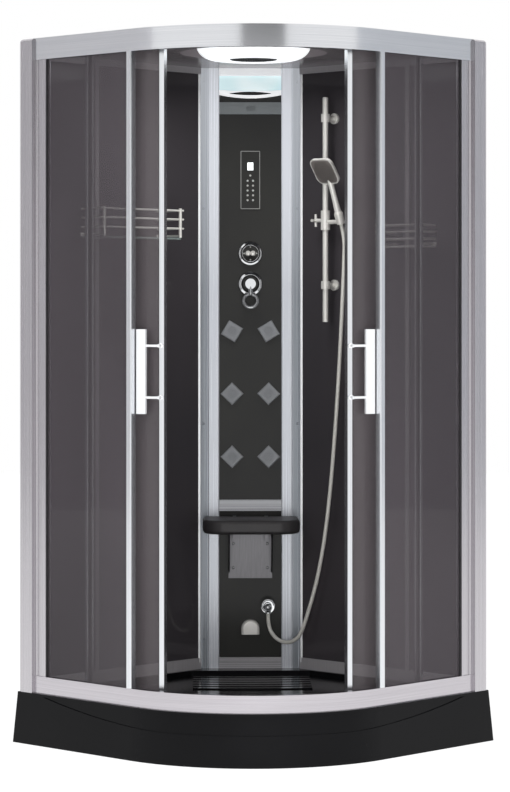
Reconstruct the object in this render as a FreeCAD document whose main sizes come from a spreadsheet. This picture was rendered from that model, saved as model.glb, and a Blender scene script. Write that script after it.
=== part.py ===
"""Quadrant steam shower cabin: low tray, curved rails, two sliding curved doors, black glass walls,
a fitted rear column and a lit roof.

Frame: +Z up, the door faces -Y, +X to the right, origin under the middle of the footprint at floor level.
The two walls run forward at 45 degrees from the rear corner. Lengths are millimetres, angles degrees.
"""

import FreeCAD, Part
import math
import os
import Sketcher
from types import SimpleNamespace

from FreeCAD import Placement, Rotation, Vector

ROOT2 = math.sqrt(2.0)
UP = Vector(0, 0, 1)

DIMENSIONS = {
    # plan
    "side": 1000.0,
    "arc_radius": 500.0,
    "corner_cut": 60.0,
    "cabin_top": 2145.0,
    # tray
    "tray_top": 155.0,
    "tray_lip": 20.0,
    "tray_draft": 4.0,
    "skirt_step": 5.0,
    "wave_low": 92.0,
    "wave_high": 147.0,
    "basin_depth": 15.0,
    "basin_inset": 82.0,
    "tray_shell": 12.0,
    "rib_half_length": 186.0,
    "rib_width": 30.0,
    "rib_rise": 4.0,
    "rib_pitch": 52.0,
    "rib_bow": 12.0,
    "rib_count": 6,
    "drain_place": 580.0,
    # rails and posts
    "low_rail_face": 52.0,
    "high_rail_face": 66.0,
    "rail_wall": 3.0,
    "post_width": 55.0,
    "post_depth": 60.0,
    "post_proud": 9.0,
    "post_round": 16.0,
    "jamb_width": 50.0,
    "stile_width": 18.0,
    "glass_thick": 5.0,
    "fixed_glass_line": 11.5,
    # doors
    "door_line": 51.0,
    "lead_stile": 15.0,
    "trail_stile": 19.0,
    "door_stile_depth": 20.0,
    "door_open_angle": 23.74,
    "door_pole_side": 124.7,
    "door_pole_back": 735.2,
    "wheel_radius": 11.0,
    "wheel_width": 6.0,
    "axle_radius": 3.0,
    "handle_height": 249.0,
    "handle_width": 32.0,
    # roof
    "roof_low": 2105.0,
    "lamp_radius": 175.0,
    "lamp_drop": 50.0,
    "lamp_from_front": 500.0,
    "well_radius": 226.0,
    "well_height": 28.0,
    "rain_radius": 74.0,
    # column
    "column_back": 172.0,
    "panel_half": 101.0,
    "column_half": 168.0,
    "profile_face": 36.0,
    # column fittings
    "plate_radius": 40.0,
    "diverter_height": 1503.0,
    "mixer_height": 1404.0,
    "jet_size": 53.0,
    "jet_spread": 59.5,
    "seat_width": 310.0,
    "seat_reach": 205.0,
    "seat_thick": 44.0,
    "seat_top": 651.0,
    # riser and hand shower
    "riser_radius": 9.0,
    "riser_length": 719.0,
    "riser_foot": 1281.0,
    "riser_from_wall": 60.0,
    "riser_along": 396.0,
    "slider_height": 1606.0,
    "arm_reach": 65.0,
    "head_size": 92.0,
    "hose_radius": 6.0,
    # shelves
    "shelf_reach": 112.0,
    "rail_bar_radius": 3.2,
}


class Size:
    """A length known both as a number and as a formula over the sheet's cells."""

    def __init__(self, number, formula):
        self.number = number
        self.formula = formula

    def joined(self, other, sign, number):
        return Size(number, "(" + self.formula + sign + as_size(other).formula + ")")

    def __add__(self, other):
        return self.joined(other, " + ", self.number + float(other))

    def __sub__(self, other):
        return self.joined(other, " - ", self.number - float(other))

    def __mul__(self, other):
        return self.joined(other, " * ", self.number * float(other))

    def __truediv__(self, other):
        return self.joined(other, " / ", self.number / float(other))

    def __radd__(self, other):
        return as_size(other) + self

    def __rsub__(self, other):
        return as_size(other) - self

    def __rmul__(self, other):
        return as_size(other) * self

    def __neg__(self):
        return as_size(0.0) - self

    def __float__(self):
        return self.number


def as_size(value):
    return value if isinstance(value, Size) else Size(float(value), f"{float(value):.6f}")


doc = FreeCAD.newDocument("steam_shower_cabin")
sheet = doc.addObject("Spreadsheet::Sheet", "Dims")
for row, (alias, value) in enumerate(DIMENSIONS.items(), start=1):
    sheet.set(f"A{row}", alias)
    sheet.set(f"B{row}", str(value))
    sheet.setAlias(f"B{row}", alias)
doc.recompute()

d = SimpleNamespace(**{alias: Size(float(sheet.get(alias)), "Dims." + alias) for alias in DIMENSIONS})

SUB_PARTS = []

# Places that follow from the driving dimensions.
flat = d.side - d.arc_radius
depth_front = float(flat) * ROOT2 + float(d.arc_radius)
CUT_DEPTH = (float(d.corner_cut) - float(d.tray_lip)) / ROOT2
CORNER_Y = (depth_front + float(d.tray_lip) + CUT_DEPTH) / 2
FRONT_Y = CORNER_Y - depth_front
COLUMN_Y = CORNER_Y - float(d.column_back)
GLOBAL = Placement()
# The corner frame: its X runs along the left wall and its Y along the right wall.
CORNER = Placement(Vector(0, CORNER_Y, 0), Rotation(UP, -135))
ARC = Placement(Vector(0, FRONT_Y + float(d.arc_radius), 0), Rotation(UP, -90))


# ---------------------------------------------------------------- building blocks


def bind(thing, name, value):
    """Sets a property and ties it to the sheet."""
    value = as_size(value)
    setattr(thing, name, value.number)
    thing.setExpression(name, value.formula)


def sub_part(thing, label, place=None):
    """Names a finished sub-part and puts it in its place."""
    thing.Label = label
    if place is not None:
        thing.Placement = place
    SUB_PARTS.append(thing)
    return thing


def at(frame, x=0.0, y=0.0, z=0.0, rotation=None):
    """A placement at a point of a frame."""
    step = Placement(Vector(float(x), float(y), float(z)), rotation or Rotation())
    return frame.multiply(step)


def body(name):
    return doc.addObject("PartDesign::Body", name)


def origin_plane(owner, role):
    return next(f for f in owner.Origin.OriginFeatures if f.Role == role)


def sketch_on(owner, role="XY_Plane", lift=0.0):
    sketch = owner.newObject("Sketcher::SketchObject", "outline")
    sketch.AttachmentSupport = [(origin_plane(owner, role), "")]
    sketch.MapMode = "FlatFace"
    lift = as_size(lift)
    sketch.AttachmentOffset = Placement(Vector(0, 0, lift.number), Rotation())
    sketch.setExpression(".AttachmentOffset.Base.z", lift.formula)
    return sketch


def fix_point(sketch, geometry, point, x, y):
    """Holds a sketch point at x, y from the sketch's origin."""
    for kind, value in (("DistanceX", as_size(x)), ("DistanceY", as_size(y))):
        number = sketch.addConstraint(Sketcher.Constraint(kind, -1, 1, geometry, point, value.number))
        sketch.setExpression(f"Constraints[{number}]", value.formula)


def draw(sketch, corners):
    """Draws a closed outline. A corner is (x, y), or (x, y, mx, my) where an arc through mx, my follows it."""
    ends = []
    flat_corners = [tuple(float(v) for v in c) for c in corners]
    for i, corner in enumerate(flat_corners):
        here = Vector(corner[0], corner[1], 0)
        after = flat_corners[(i + 1) % len(corners)]
        there = Vector(after[0], after[1], 0)
        if len(corner) == 4:
            curve = Part.Arc(here, Vector(corner[2], corner[3], 0), there)
            g = sketch.addGeometry(curve, False)
            drawn = sketch.Geometry[g]
            forward = drawn.StartPoint.distanceToPoint(here) < drawn.EndPoint.distanceToPoint(here)
            ends.append((g, 1, 2) if forward else (g, 2, 1))
            sketch.addConstraint(Sketcher.Constraint("Radius", g, drawn.Radius))
        else:
            g = sketch.addGeometry(Part.LineSegment(here, there), False)
            ends.append((g, 1, 2))
    for i, corner in enumerate(corners):
        g, first, _ = ends[i]
        before, _, last = ends[i - 1]
        sketch.addConstraint(Sketcher.Constraint("Coincident", before, last, g, first))
        fix_point(sketch, g, first, corner[0], corner[1])
    return sketch


def pad(owner, sketch, length, taper=0.0, reverse=False):
    feature = owner.newObject("PartDesign::Pad", "pad")
    feature.Profile = sketch
    bind(feature, "Length", length)
    feature.Reversed = reverse
    if float(taper):
        bind(feature, "TaperAngle", taper)
    owner.Tip = feature
    return feature


def pocket(owner, sketch, length, reverse=False):
    """Cuts down into the solid from the sketch's plane, or up with reverse."""
    feature = owner.newObject("PartDesign::Pocket", "pocket")
    feature.Profile = sketch
    bind(feature, "Length", length)
    feature.Reversed = reverse
    owner.Tip = feature
    return feature


def revolve(owner, sketch, angle=360.0, middle=False):
    feature = owner.newObject("PartDesign::Revolution", "turned")
    feature.Profile = sketch
    feature.ReferenceAxis = (sketch, ["V_Axis"])
    bind(feature, "Angle", angle)
    feature.Midplane = middle
    owner.Tip = feature
    return feature


def ease(owner, kind, size, wanted):
    """Chamfers or fillets the edges of a body's last feature that the test picks."""
    doc.recompute()
    before = owner.Tip
    names = [f"Edge{i + 1}" for i, e in enumerate(before.Shape.Edges) if wanted(e)]
    feature = owner.newObject("PartDesign::" + kind, kind.lower())
    feature.Base = (before, names)
    bind(feature, "Size" if kind == "Chamfer" else "Radius", size)
    owner.Tip = feature
    return feature


def prism(name, corners, low, high):
    """An upright extrusion of an outline between two heights."""
    owner = body(name)
    pad(owner, draw(sketch_on(owner, lift=low), corners), as_size(high) - low)
    return owner


def turned(name, corners, angle=360.0, middle=False):
    """A solid of revolution about Z, from an outline of radius and height."""
    owner = body(name)
    revolve(owner, draw(sketch_on(owner, "XZ_Plane"), corners), angle, middle)
    return owner


def box(x_low, x_high, y_low, y_high, z_low, z_high, frame=GLOBAL):
    block = doc.addObject("Part::Box", "block")
    bind(block, "Length", as_size(x_high) - x_low)
    bind(block, "Width", as_size(y_high) - y_low)
    bind(block, "Height", as_size(z_high) - z_low)
    block.Placement = at(frame, x_low, y_low, z_low)
    return block


def rod(start, end, radius, frame=GLOBAL):
    """A round bar between two points."""
    start, end = Vector(*map(float, start)), Vector(*map(float, end))
    bar = doc.addObject("Part::Cylinder", "bar")
    bind(bar, "Radius", radius)
    bar.Height = (end - start).Length
    bar.Placement = frame.multiply(Placement(start, Rotation(UP, end - start)))
    return bar


def ball(centre, radius, frame=GLOBAL):
    sphere = doc.addObject("Part::Sphere", "ball")
    bind(sphere, "Radius", radius)
    sphere.Placement = at(frame, *centre)
    return sphere


def fuse(pieces):
    joined = doc.addObject("Part::MultiFuse", "joined")
    joined.Shapes = pieces
    joined.Refine = True
    return joined


def cut(base, tool):
    left_over = doc.addObject("Part::Cut", "left_over")
    left_over.Base = base
    left_over.Tool = tool
    left_over.Refine = True
    return left_over


def group(pieces):
    """Separate solids that share one node."""
    together = doc.addObject("Part::Compound", "together")
    together.Links = pieces
    return together


def mirrored(source, place=None):
    """The same piece on the other side of the cabin's middle plane."""
    twin = doc.addObject("Part::Mirroring", "twin")
    twin.Source = source
    twin.Normal = Vector(1, 0, 0)
    return twin


def both_sides(thing, name, place=None):
    """Makes the left sub-part and its mirror image on the right."""
    sub_part(thing, "left_" + name, place)
    sub_part(mirrored(thing), "right_" + name)


def rounded(thing, radius, wanted):
    """Rounds the edges that the test picks."""
    doc.recompute()
    edges = [(i + 1, float(radius), float(radius)) for i, e in enumerate(thing.Shape.Edges) if wanted(e)]
    smooth = doc.addObject("Part::Fillet", "smooth")
    smooth.Base = thing
    smooth.Edges = edges
    return smooth


def upright(edge):
    """True for a vertical straight edge."""
    return abs(edge.tangentAt(edge.FirstParameter).z) > 0.999


# ---------------------------------------------------------------- tray and what carries it


def quadrant(front, wall, cut_size):
    """The cabin's plan: two wall sides, two flats and the front arc, in the corner frame."""
    far = d.side + front
    middle = float(flat) + (float(d.arc_radius) + float(front)) / ROOT2
    return [
        (as_size(cut_size), -as_size(wall)),
        (far, -as_size(wall)),
        (far, flat, middle, middle),
        (flat, far),
        (-as_size(wall), far),
        (-as_size(wall), as_size(cut_size)),
    ]


def in_corner(x, y):
    """A point of the cabin's own plan, as the corner frame sees it."""
    back = CORNER_Y - y
    return (back - x) / ROOT2, (back + x) / ROOT2


def make_tray():
    tray = body("basin")
    skirt = draw(sketch_on(tray), quadrant(d.tray_lip, d.tray_lip, d.corner_cut))
    pad(tray, skirt, d.tray_top, taper=-d.tray_draft)
    doc.recompute()
    basin_top = sketch_on(tray, lift=d.tray_top)
    pocket(tray, draw(basin_top, quadrant(-d.basin_inset, as_size(-30.0), 300.0)), d.basin_depth)
    hollow = sketch_on(tray, lift=0.0)
    inner = -d.tray_shell
    pocket(tray, draw(hollow, quadrant(inner, inner, 110.0)), d.tray_top - d.basin_depth - 10.0, reverse=True)
    floor = d.tray_top - d.basin_depth
    # bowed ribs lie across the cabin's middle line, under the seat
    half, wide, bow = float(d.rib_half_length), float(d.rib_width), float(d.rib_bow)
    for step in range(int(float(d.rib_count))):
        rear = 350.0 - step * float(d.rib_pitch)
        front = rear - wide
        across = [half * (i / 3 - 1) for i in range(7)]
        behind = [in_corner(x, rear - bow * (1 - (x / half) ** 2)) for x in across]
        before = [in_corner(x, front - bow * (1 - (x / half) ** 2)) for x in reversed(across)]
        pad(tray, draw(sketch_on(tray, lift=floor), behind + before), d.rib_rise)
    drain = sketch_on(tray, lift=floor + d.rib_rise)
    hole = drain.addGeometry(Part.Circle(Vector(float(d.drain_place), float(d.drain_place), 0), UP, 45), False)
    drain.addConstraint(Sketcher.Constraint("Radius", hole, 45))
    fix_point(drain, hole, 3, d.drain_place, d.drain_place)
    pocket(tray, drain, 40.0)
    tray.Placement = CORNER

    # the front skirt steps back above a line that dips in a shallow wave, and below the rim
    core = body("core")
    behind = quadrant(d.tray_lip - d.skirt_step, d.tray_lip + 1, d.corner_cut)
    pad(core, draw(sketch_on(core), behind), d.tray_top, taper=-d.tray_draft)
    core.Placement = CORNER
    low, high = float(d.wave_low), float(d.wave_high)
    level, end = 250.0, 640.0
    radius = ((end - level) ** 2 + (high - low) ** 2) / (2 * (high - low))
    turn = math.asin((end - level) / radius) / 2
    bend_x, bend_z = level + radius * math.sin(turn), low + radius * (1 - math.cos(turn))
    wave = body("wave")
    line = [
        (-level, d.wave_low), (level, d.wave_low, bend_x, bend_z), (end, d.wave_high),
        (-end, d.wave_high, -bend_x, bend_z),
    ]
    pad(wave, draw(sketch_on(wave, "XZ_Plane"), line), 720.0)
    recess = cut(wave, core)
    waste_gap = box(-40, 20, 525, 635, -1, 98, CORNER)
    sub_part(cut(tray, fuse([recess, waste_gap])), "tray")


def make_tray_frame():
    """Welded square tube under the tray, with its adjustable feet and the drain trap."""
    tube = 25.0
    high = d.tray_top - d.basin_depth - 10.0
    low = high - tube
    lines = (60, 400, 700)
    bars = [
        box(start, end, y, y + tube, low, high, CORNER)
        for y, start, end in zip(lines, (75, 40, 40), (950, 860, 730))
    ]
    for x in lines:
        for start, end in ((60 + tube, 400), (400 + tube, 700)):
            bars.append(box(x, x + tube, start, end, low, high, CORNER))
    bars.append(box(60, 60 + tube, 700 + tube, 950, low, high, CORNER))
    bars.append(box(400, 400 + tube, 700 + tube, 860, low, high, CORNER))
    sub_part(group(bars), "tray_frame")
    feet = []
    for x, y in ((72, 900), (900, 72), (412, 412), (712, 712 - 60), (80, 80 + 40)):
        pad_disc = rod((x, y, 0), (x, y, 10), 25, CORNER)
        stud = rod((x, y, 9), (x, y, float(low)), 6, CORNER)
        nut = rod((x, y, float(low) - 8), (x, y, float(low)), 10, CORNER)
        feet.append(fuse([pad_disc, stud, nut]))
    sub_part(group(feet), "tray_feet")
    floor = float(d.tray_top - d.basin_depth)
    place = float(d.drain_place)
    cover = turned("drain_cover", [
        (0, floor - 1.0), (44.5, floor - 1.0), (44.5, floor + 2.0), (40.0, floor + 4.0), (14.0, floor + 5.0),
        (12.0, floor + 2.5), (0, floor + 2.5),
    ])
    sub_part(cover, "drain_cover", at(CORNER, place, place))
    trap = turned("trap", [
        (0, 22), (48, 22), (52, 30), (52, 84), (44.5, 92), (44.5, floor - 1.0), (38, floor - 1.0), (38, 92),
        (44, 84), (44, 34), (0, 34),
    ])
    trap.Placement = at(CORNER, place, place)
    socket = rod((place - 45, place, 62), (place - 80, place, 62), 25, CORNER)
    outlet = rod((place - 75, place, 62), (place - 140, place, 62), 20, CORNER)
    waste_bore = rod((place - 30, place, 62), (place - 141, place, 62), 17, CORNER)
    sub_part(cut(fuse([trap, socket, outlet]), waste_bore), "drain_trap")


# ---------------------------------------------------------------- rails, posts and fixed glass


def rail(name, section):
    """A rail of one section: a quarter turn about the arc's axis and a straight run along each flat."""
    bend = turned("bend", section, 90.0, middle=True)
    pieces = [bend]
    for sign in (1, -1):
        owner = body("run")
        pad(owner, draw(sketch_on(owner, "XZ_Plane"), section), flat - d.post_width, reverse=sign > 0)
        owner.Placement = Placement(Vector(), Rotation(UP, sign * 45))
        pieces.append(owner)
    sub_part(fuse(pieces), name, ARC)


def make_rails():
    radius = d.arc_radius
    low, high = d.tray_top, d.tray_top + d.low_rail_face
    rail("bottom_rail", [
        (radius, low), (radius, high), (radius - 8, high), (radius - 8, high - 15), (radius - 15, high - 15),
        (radius - 15, high), (radius - 24, high), (radius - 24, low + 27), (radius - 70, low + 27),
        (radius - 70, low),
    ])
    top = d.cabin_top
    wall = d.rail_wall
    foot = top - d.high_rail_face
    lip = top - 48
    rail("top_rail", [
        (radius, foot), (radius, top), (radius - 90, top), (radius - 90, lip), (radius - 65.6, lip),
        (radius - 65.6, lip + wall), (radius - 90 + wall, lip + wall), (radius - 90 + wall, top - wall),
        (radius - 20, top - wall), (radius - 20, lip + wall), (radius - 38.4, lip + wall), (radius - 38.4, lip),
        (radius - 20, lip), (radius - 20, foot), (radius - 17, foot), (radius - 17, top - wall),
        (radius - wall, top - wall), (radius - wall, foot),
    ])


def make_posts():
    """Wall posts, jambs, fixed panes and the uprights at their free edges, in the corner frame."""
    side, low, top = d.side, d.tray_top, d.cabin_top
    turn = float(d.post_round)
    bend = turn * (1 - 1 / ROOT2)
    proud, wide = side + d.post_proud, d.post_width
    back = -d.post_proud
    post = prism("wall_post", [
        (side - d.post_depth, back), (proud - turn, back, float(proud) - bend, float(back) + bend),
        (proud, back + turn), (proud, wide), (side - 3, wide), (side - 3, wide - 16), (side - 20, wide - 16),
        (side - 20, wide), (side - d.post_depth, wide),
    ], low, top)
    ease(post, "Fillet", 10.0, lambda e: e.CenterOfMass.z > float(top) - 0.01 and e.CenterOfMass.x > float(proud) - 0.01)
    both_sides(post, "wall_post", CORNER)
    rail_top = d.tray_top + d.low_rail_face
    rail_foot = d.cabin_top - d.high_rail_face
    near, far = d.post_width, d.post_width + d.jamb_width
    jamb = prism("jamb", [
        (side - 24, near), (side - 2, near), (side - 2, near + 8), (side - 5, near + 10), (side - 5, far - 10),
        (side - 2, far - 8), (side - 2, far), (side - 8, far), (side - 8, far - 14), (side - 15, far - 14),
        (side - 15, far), (side - 24, far),
    ], rail_top, rail_foot)
    jamb.Placement = CORNER
    sub_part(group([jamb, mirrored(jamb)]), "jambs")
    pane_low = rail_top - 14
    pane_high = rail_foot + 40
    half = d.glass_thick / 2
    line = side - d.fixed_glass_line
    stile_far = d.arc_radius - 20
    stile_near = stile_far - d.stile_width
    pane = box(line - half, line + half, far - 12, stile_near + 8, pane_low, pane_high, CORNER)
    sub_part(group([pane, mirrored(pane)]), "fixed_glass")
    stile = prism("fixed_stile", [
        (side - 20, stile_near), (side - 15, stile_near), (side - 15, stile_near + 9), (side - 8, stile_near + 9),
        (side - 8, stile_near), (side, stile_near), (side, stile_far - 3), (side - 3, stile_far),
        (side - 20, stile_far),
    ], rail_top, rail_foot)
    stile.Placement = CORNER
    sub_part(group([stile, mirrored(stile)]), "fixed_stiles")


def make_walls():
    """Black glass wall panes in aluminium trim, standing on the tray's rim."""
    start = d.column_half * ROOT2
    low, high = d.tray_top, d.roof_low
    end = d.side - d.post_depth
    joint = as_size(690.0)
    thick = d.glass_thick
    rear = box(start + 6, joint + 2, 9, thick + 9, low + 20, high - 20, CORNER)
    front = box(joint + 18, end + 0, 9, thick + 9, low + 20, high - 20, CORNER)
    sides = [rear, front, mirrored(rear), mirrored(front)]
    sub_part(group(sides), "wall_glass")
    trim = [
        box(start + 6, end, 6, 18, low, low + 20, CORNER),
        box(start + 6, end, 6, 18, high - 20, high, CORNER),
        box(joint + 2, joint + 18, 6, thick + 9, low, high, CORNER),
    ]
    base = box(start + 6, end, 14, 18, low, low + 36, CORNER)
    left = fuse(trim + [base])
    sub_part(group([left, mirrored(left)]), "wall_trims")


# ---------------------------------------------------------------- roof


def make_roof():
    roof = body("roof")
    low, high = d.roof_low, d.roof_low + 38
    edge, notch = d.side - 90, d.side - d.post_depth
    middle = float(flat) + (float(d.arc_radius) - 90) / ROOT2
    outline = [
        (200, 0), (notch, 0), (notch, d.post_width), (edge, d.post_width), (edge, flat, middle, middle),
        (flat, edge), (d.post_width, edge), (d.post_width, notch), (0, notch), (0, 200),
    ]
    pad(roof, draw(sketch_on(roof, lift=low), outline), high - low)
    doc.recompute()
    pocket(roof, draw(sketch_on(roof, lift=high), quadrant(as_size(-100.0), as_size(-10.0), 216.0)), 32.0)
    # a round well for the lamp is raised from the pan's floor
    centre = Vector(0, FRONT_Y + float(d.lamp_from_front), 0)
    x, y = in_corner(centre.x, centre.y)
    rim = d.well_radius + 6
    for radius, base, height in ((rim, low, d.well_height + 6), (d.well_radius, low, d.well_height)):
        disc = sketch_on(roof, lift=base)
        ring = disc.addGeometry(Part.Circle(Vector(x, y, 0), UP, float(radius)), False)
        size = disc.addConstraint(Sketcher.Constraint("Radius", ring, float(radius)))
        disc.setExpression(f"Constraints[{size}]", radius.formula)
        fix_point(disc, ring, 3, x, y)
        if radius is rim:
            pad(roof, disc, height)
        else:
            pocket(roof, disc, height, reverse=True)
    sub_part(roof, "roof", CORNER)
    outer = float(d.lamp_radius)
    inner = float(d.rain_radius) + 4
    ceiling = float(low + d.well_height)
    drop = float(d.lamp_drop)
    bowl = [(inner, ceiling), (outer, ceiling), (outer, ceiling - 4.0)]
    for step in range(1, 9):
        turn = math.radians(90.0 * step / 8)
        bowl.append((outer - 58.0 * (1 - math.cos(turn)), ceiling - 4.0 - (drop - 4.0) * math.sin(turn)))
    bowl += [(inner + 5, ceiling - drop), (inner, ceiling - drop + 3)]
    sub_part(turned("ceiling_lamp", bowl), "ceiling_lamp", Placement(centre, Rotation()))
    face = ceiling - drop + 1
    head = [
        (0, face), (float(d.rain_radius) - 4, face), (float(d.rain_radius), face + 3),
        (float(d.rain_radius), face + 8), (24, face + 11), (24, ceiling), (0, ceiling),
    ]
    sub_part(turned("rain_head", head), "rain_head", Placement(centre, Rotation()))


# ---------------------------------------------------------------- rear column


def make_column():
    """The column across the rear corner: two extruded profiles, their cross bars and the black fascia."""
    low, high = d.tray_top, d.roof_low
    face = as_size(COLUMN_Y)
    inner, edge, outer = d.panel_half, d.panel_half + d.profile_face, d.column_half
    profile = prism("column_profile", [
        (-inner, face + 20), (-inner, face), (-inner - 3, face - 2), (-edge + 3, face - 2), (-edge, face),
        (-edge, face + 4), (-edge - 3, face + 4), (-edge - 3, face + 1), (-outer + 12, face + 1),
        (-outer + 9, face + 4), (-outer, face + 4), (-outer, face + 7), (-outer + 14, face + 20),
    ], low, high)
    sub_part(group([profile, mirrored(profile)]), "column_profiles")
    bars = [
        box(-inner, inner, face + 1, face + 20, high - 24, high),
        box(-inner, inner, face + 1, face + 8, 666, 702),
        box(-inner, inner, face + 1, face + 20, low, low + 35),
    ]
    sub_part(group(bars), "column_bars")
    vent_low, vent_high = as_size(1956.0), as_size(1995.0)
    lamp_low = as_size(2024.0)
    fascia = box(-inner, inner, face + 8, face + 14, low + 35, vent_low)
    upper = box(-inner, inner, face + 14, face + 20, vent_high, lamp_low)
    sub_part(group([fascia, upper]), "column_panel")
    vent = box(-inner, inner, face + 3, face + 14, vent_low, vent_high)
    slots = [box(x, x + 3, face + 2, face + 12, vent_low + 12, vent_high - 12) for x in range(-12, 14, 6)]
    sub_part(cut(vent, fuse(slots)), "vent_bar")
    sub_part(box(-inner, inner, face + 14, face + 20, lamp_low, high - 24), "column_lamp")
    visor = body("column_visor")
    wide, steps = float(inner), 12
    across = [-wide + 2 * wide * i / steps for i in range(steps + 1)]
    sag = [11.0 * (1 - (x / wide) ** 2) for x in across]
    under = [(x, 2019.0 - drop) for x, drop in zip(across, sag)]
    over = [(x, 2034.0 - 0.4 * drop) for x, drop in zip(across, sag)]
    pad(visor, draw(sketch_on(visor, "XZ_Plane"), under + over[::-1]), 13.0)
    sub_part(visor, "column_visor", Placement(Vector(0, COLUMN_Y + 14, 0), Rotation()))


def make_controls():
    """Keypad, the two round plates, the diverter knob, the mixer's hub and lever."""
    fascia = COLUMN_Y + 8
    keypad = box(-32, 32, fascia - 6, fascia, 1647, 1837)
    sub_part(rounded(keypad, 2.5, lambda e: abs(e.CenterOfMass.y - (fascia - 6)) < 0.1), "control_panel")
    facing = Rotation(Vector(1, 0, 0), 90)
    plates = []
    radius = float(d.plate_radius)
    for height in (d.diverter_height, d.mixer_height):
        plate = turned("plate", [
            (0, 0), (radius, 0), (radius, 2), (radius - 3, 6), (radius - 9, 7), (0, 7),
        ])
        plate.Placement = Placement(Vector(0, fascia, float(height)), facing)
        plates.append(plate)
    sub_part(group(plates), "valve_plates")
    front = fascia - 7.3
    knob = turned("diverter_knob", [
        (0, 0), (25, 0), (31, 3), (32, 12), (30, 19), (27, 20), (25, 15), (12, 14), (11, 24), (9, 27), (0, 28),
    ])
    sub_part(knob, "diverter_knob", Placement(Vector(0, front, float(d.diverter_height)), facing))
    hub = turned("mixer_hub", [
        (0, 0), (28, 0), (30, 6), (29, 14), (24, 22), (13, 22), (13, 8), (0, 8),
    ])
    sub_part(hub, "mixer_hub", Placement(Vector(0, front, float(d.mixer_height)), facing))
    height = float(d.mixer_height)
    pivot = Vector(0, front - 21.0, height)
    core = ball((0, front - 21, height), 12.5)
    cap = rod((0, front - 30, height), (0, front - 40, height), 17)
    loop = doc.addObject("Part::Torus", "loop")
    loop.Radius1 = 22
    loop.Radius2 = 5.5
    loop.Placement = Placement(Vector(0, front - 35, height - 55), Rotation(Vector(1, 0, 0), 80))
    neck = rod((0, front - 32, height - 8), (0, front - 34, height - 36), 8)
    sub_part(fuse([core, cap, loop, neck]), "mixer_lever")
    return pivot


JET_ROWS = ((1250.0, 31.0), (1047.0, 44.0), (842.0, 45.0))


def make_jets():
    """Six square body jets that swivel on round bases."""
    fascia = COLUMN_Y + 8
    facing = Rotation(Vector(1, 0, 0), 90)
    bases = []
    half = float(d.jet_size) / 2
    for row, (height, turn) in enumerate(JET_ROWS, start=1):
        for side, sign in (("left", -1), ("right", 1)):
            spot = Vector(sign * float(d.jet_spread), fascia, height)
            base = turned("jet_base", [(0, 0), (22, 0), (22, 2.5), (18, 4), (0, 4)])
            base.Placement = Placement(spot, facing)
            bases.append(base)
            head = body("jet")
            square = [(-half, -half), (half, -half), (half, half), (-half, half)]
            pad(head, draw(sketch_on(head, lift=4.3), square), 9.0)
            ease(head, "Chamfer", 3.0, lambda e: e.CenterOfMass.z > 13.0)
            dish = sketch_on(head, lift=13.3)
            ring = dish.addGeometry(Part.Circle(Vector(0, 0, 0), UP, 15), False)
            dish.addConstraint(Sketcher.Constraint("Radius", ring, 15))
            dish.addConstraint(Sketcher.Constraint("Coincident", ring, 3, -1, 1))
            pocket(head, dish, 2.0)
            spin = Rotation(Vector(0, 1, 0), -sign * turn)
            sub_part(head, f"jet_{side}_{row}", Placement(spot, spin.multiply(facing)))
    sub_part(group(bases), "jet_bases")


def make_seat():
    """A fold-up seat on a hinge pin, over a folded steel bracket."""
    top, thick = d.seat_top, d.seat_thick
    pin_y = COLUMN_Y - 38
    pin_z = float(top) - 9
    rear = pin_y + 8
    reach = float(d.seat_reach)
    half = float(d.seat_width) / 2
    front = rear - reach
    slab = prism("slab", [
        (-half, rear), (-half, front + 70, -half + 20, front + 20), (-half + 70, front),
        (half - 70, front, half - 20, front + 20), (half, front + 70), (half, rear),
    ], top - thick, top)
    ease(slab, "Fillet", 12.0, lambda e: e.CenterOfMass.y < rear - 1 and not upright(e))
    gaps = [box(x, x + 15, pin_y - 14, rear + 5, top - thick - 5, top + 5) for x in (-59, 44)]
    bore = rod((-90, pin_y, pin_z), (90, pin_y, pin_z), 4.05)
    sub_part(cut(slab, fuse(gaps + [bore])), "seat")
    pin = rod((-85, pin_y, pin_z), (85, pin_y, pin_z), 4.0)
    low, high = 448.0, float(top - thick) - 1.2
    plate = box(-71, 71, COLUMN_Y - 3, COLUMN_Y + 8, low, high)
    sideways = Placement(Vector(0, COLUMN_Y - 2, 0), Rotation(Vector(0, -1, 0), UP, Vector(-1, 0, 0), "XYZ"))
    wings = []
    for x in (-67, 71):
        wing = prism("wing", [(0, low + 20), (24, low + 20), (96, high), (0, high)], 0, 4)
        wing.Placement = Placement(Vector(x, 0, 0), Rotation()).multiply(sideways)
        wings.append(wing)
    ears = [box(x, x + 12, pin_y - 9, COLUMN_Y + 8, high - 30, pin_z + 8) for x in (-57.5, 45.5)]
    sub_part(fuse([plate, pin] + wings + ears), "seat_bracket")
    return Vector(0, pin_y, pin_z)


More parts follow.
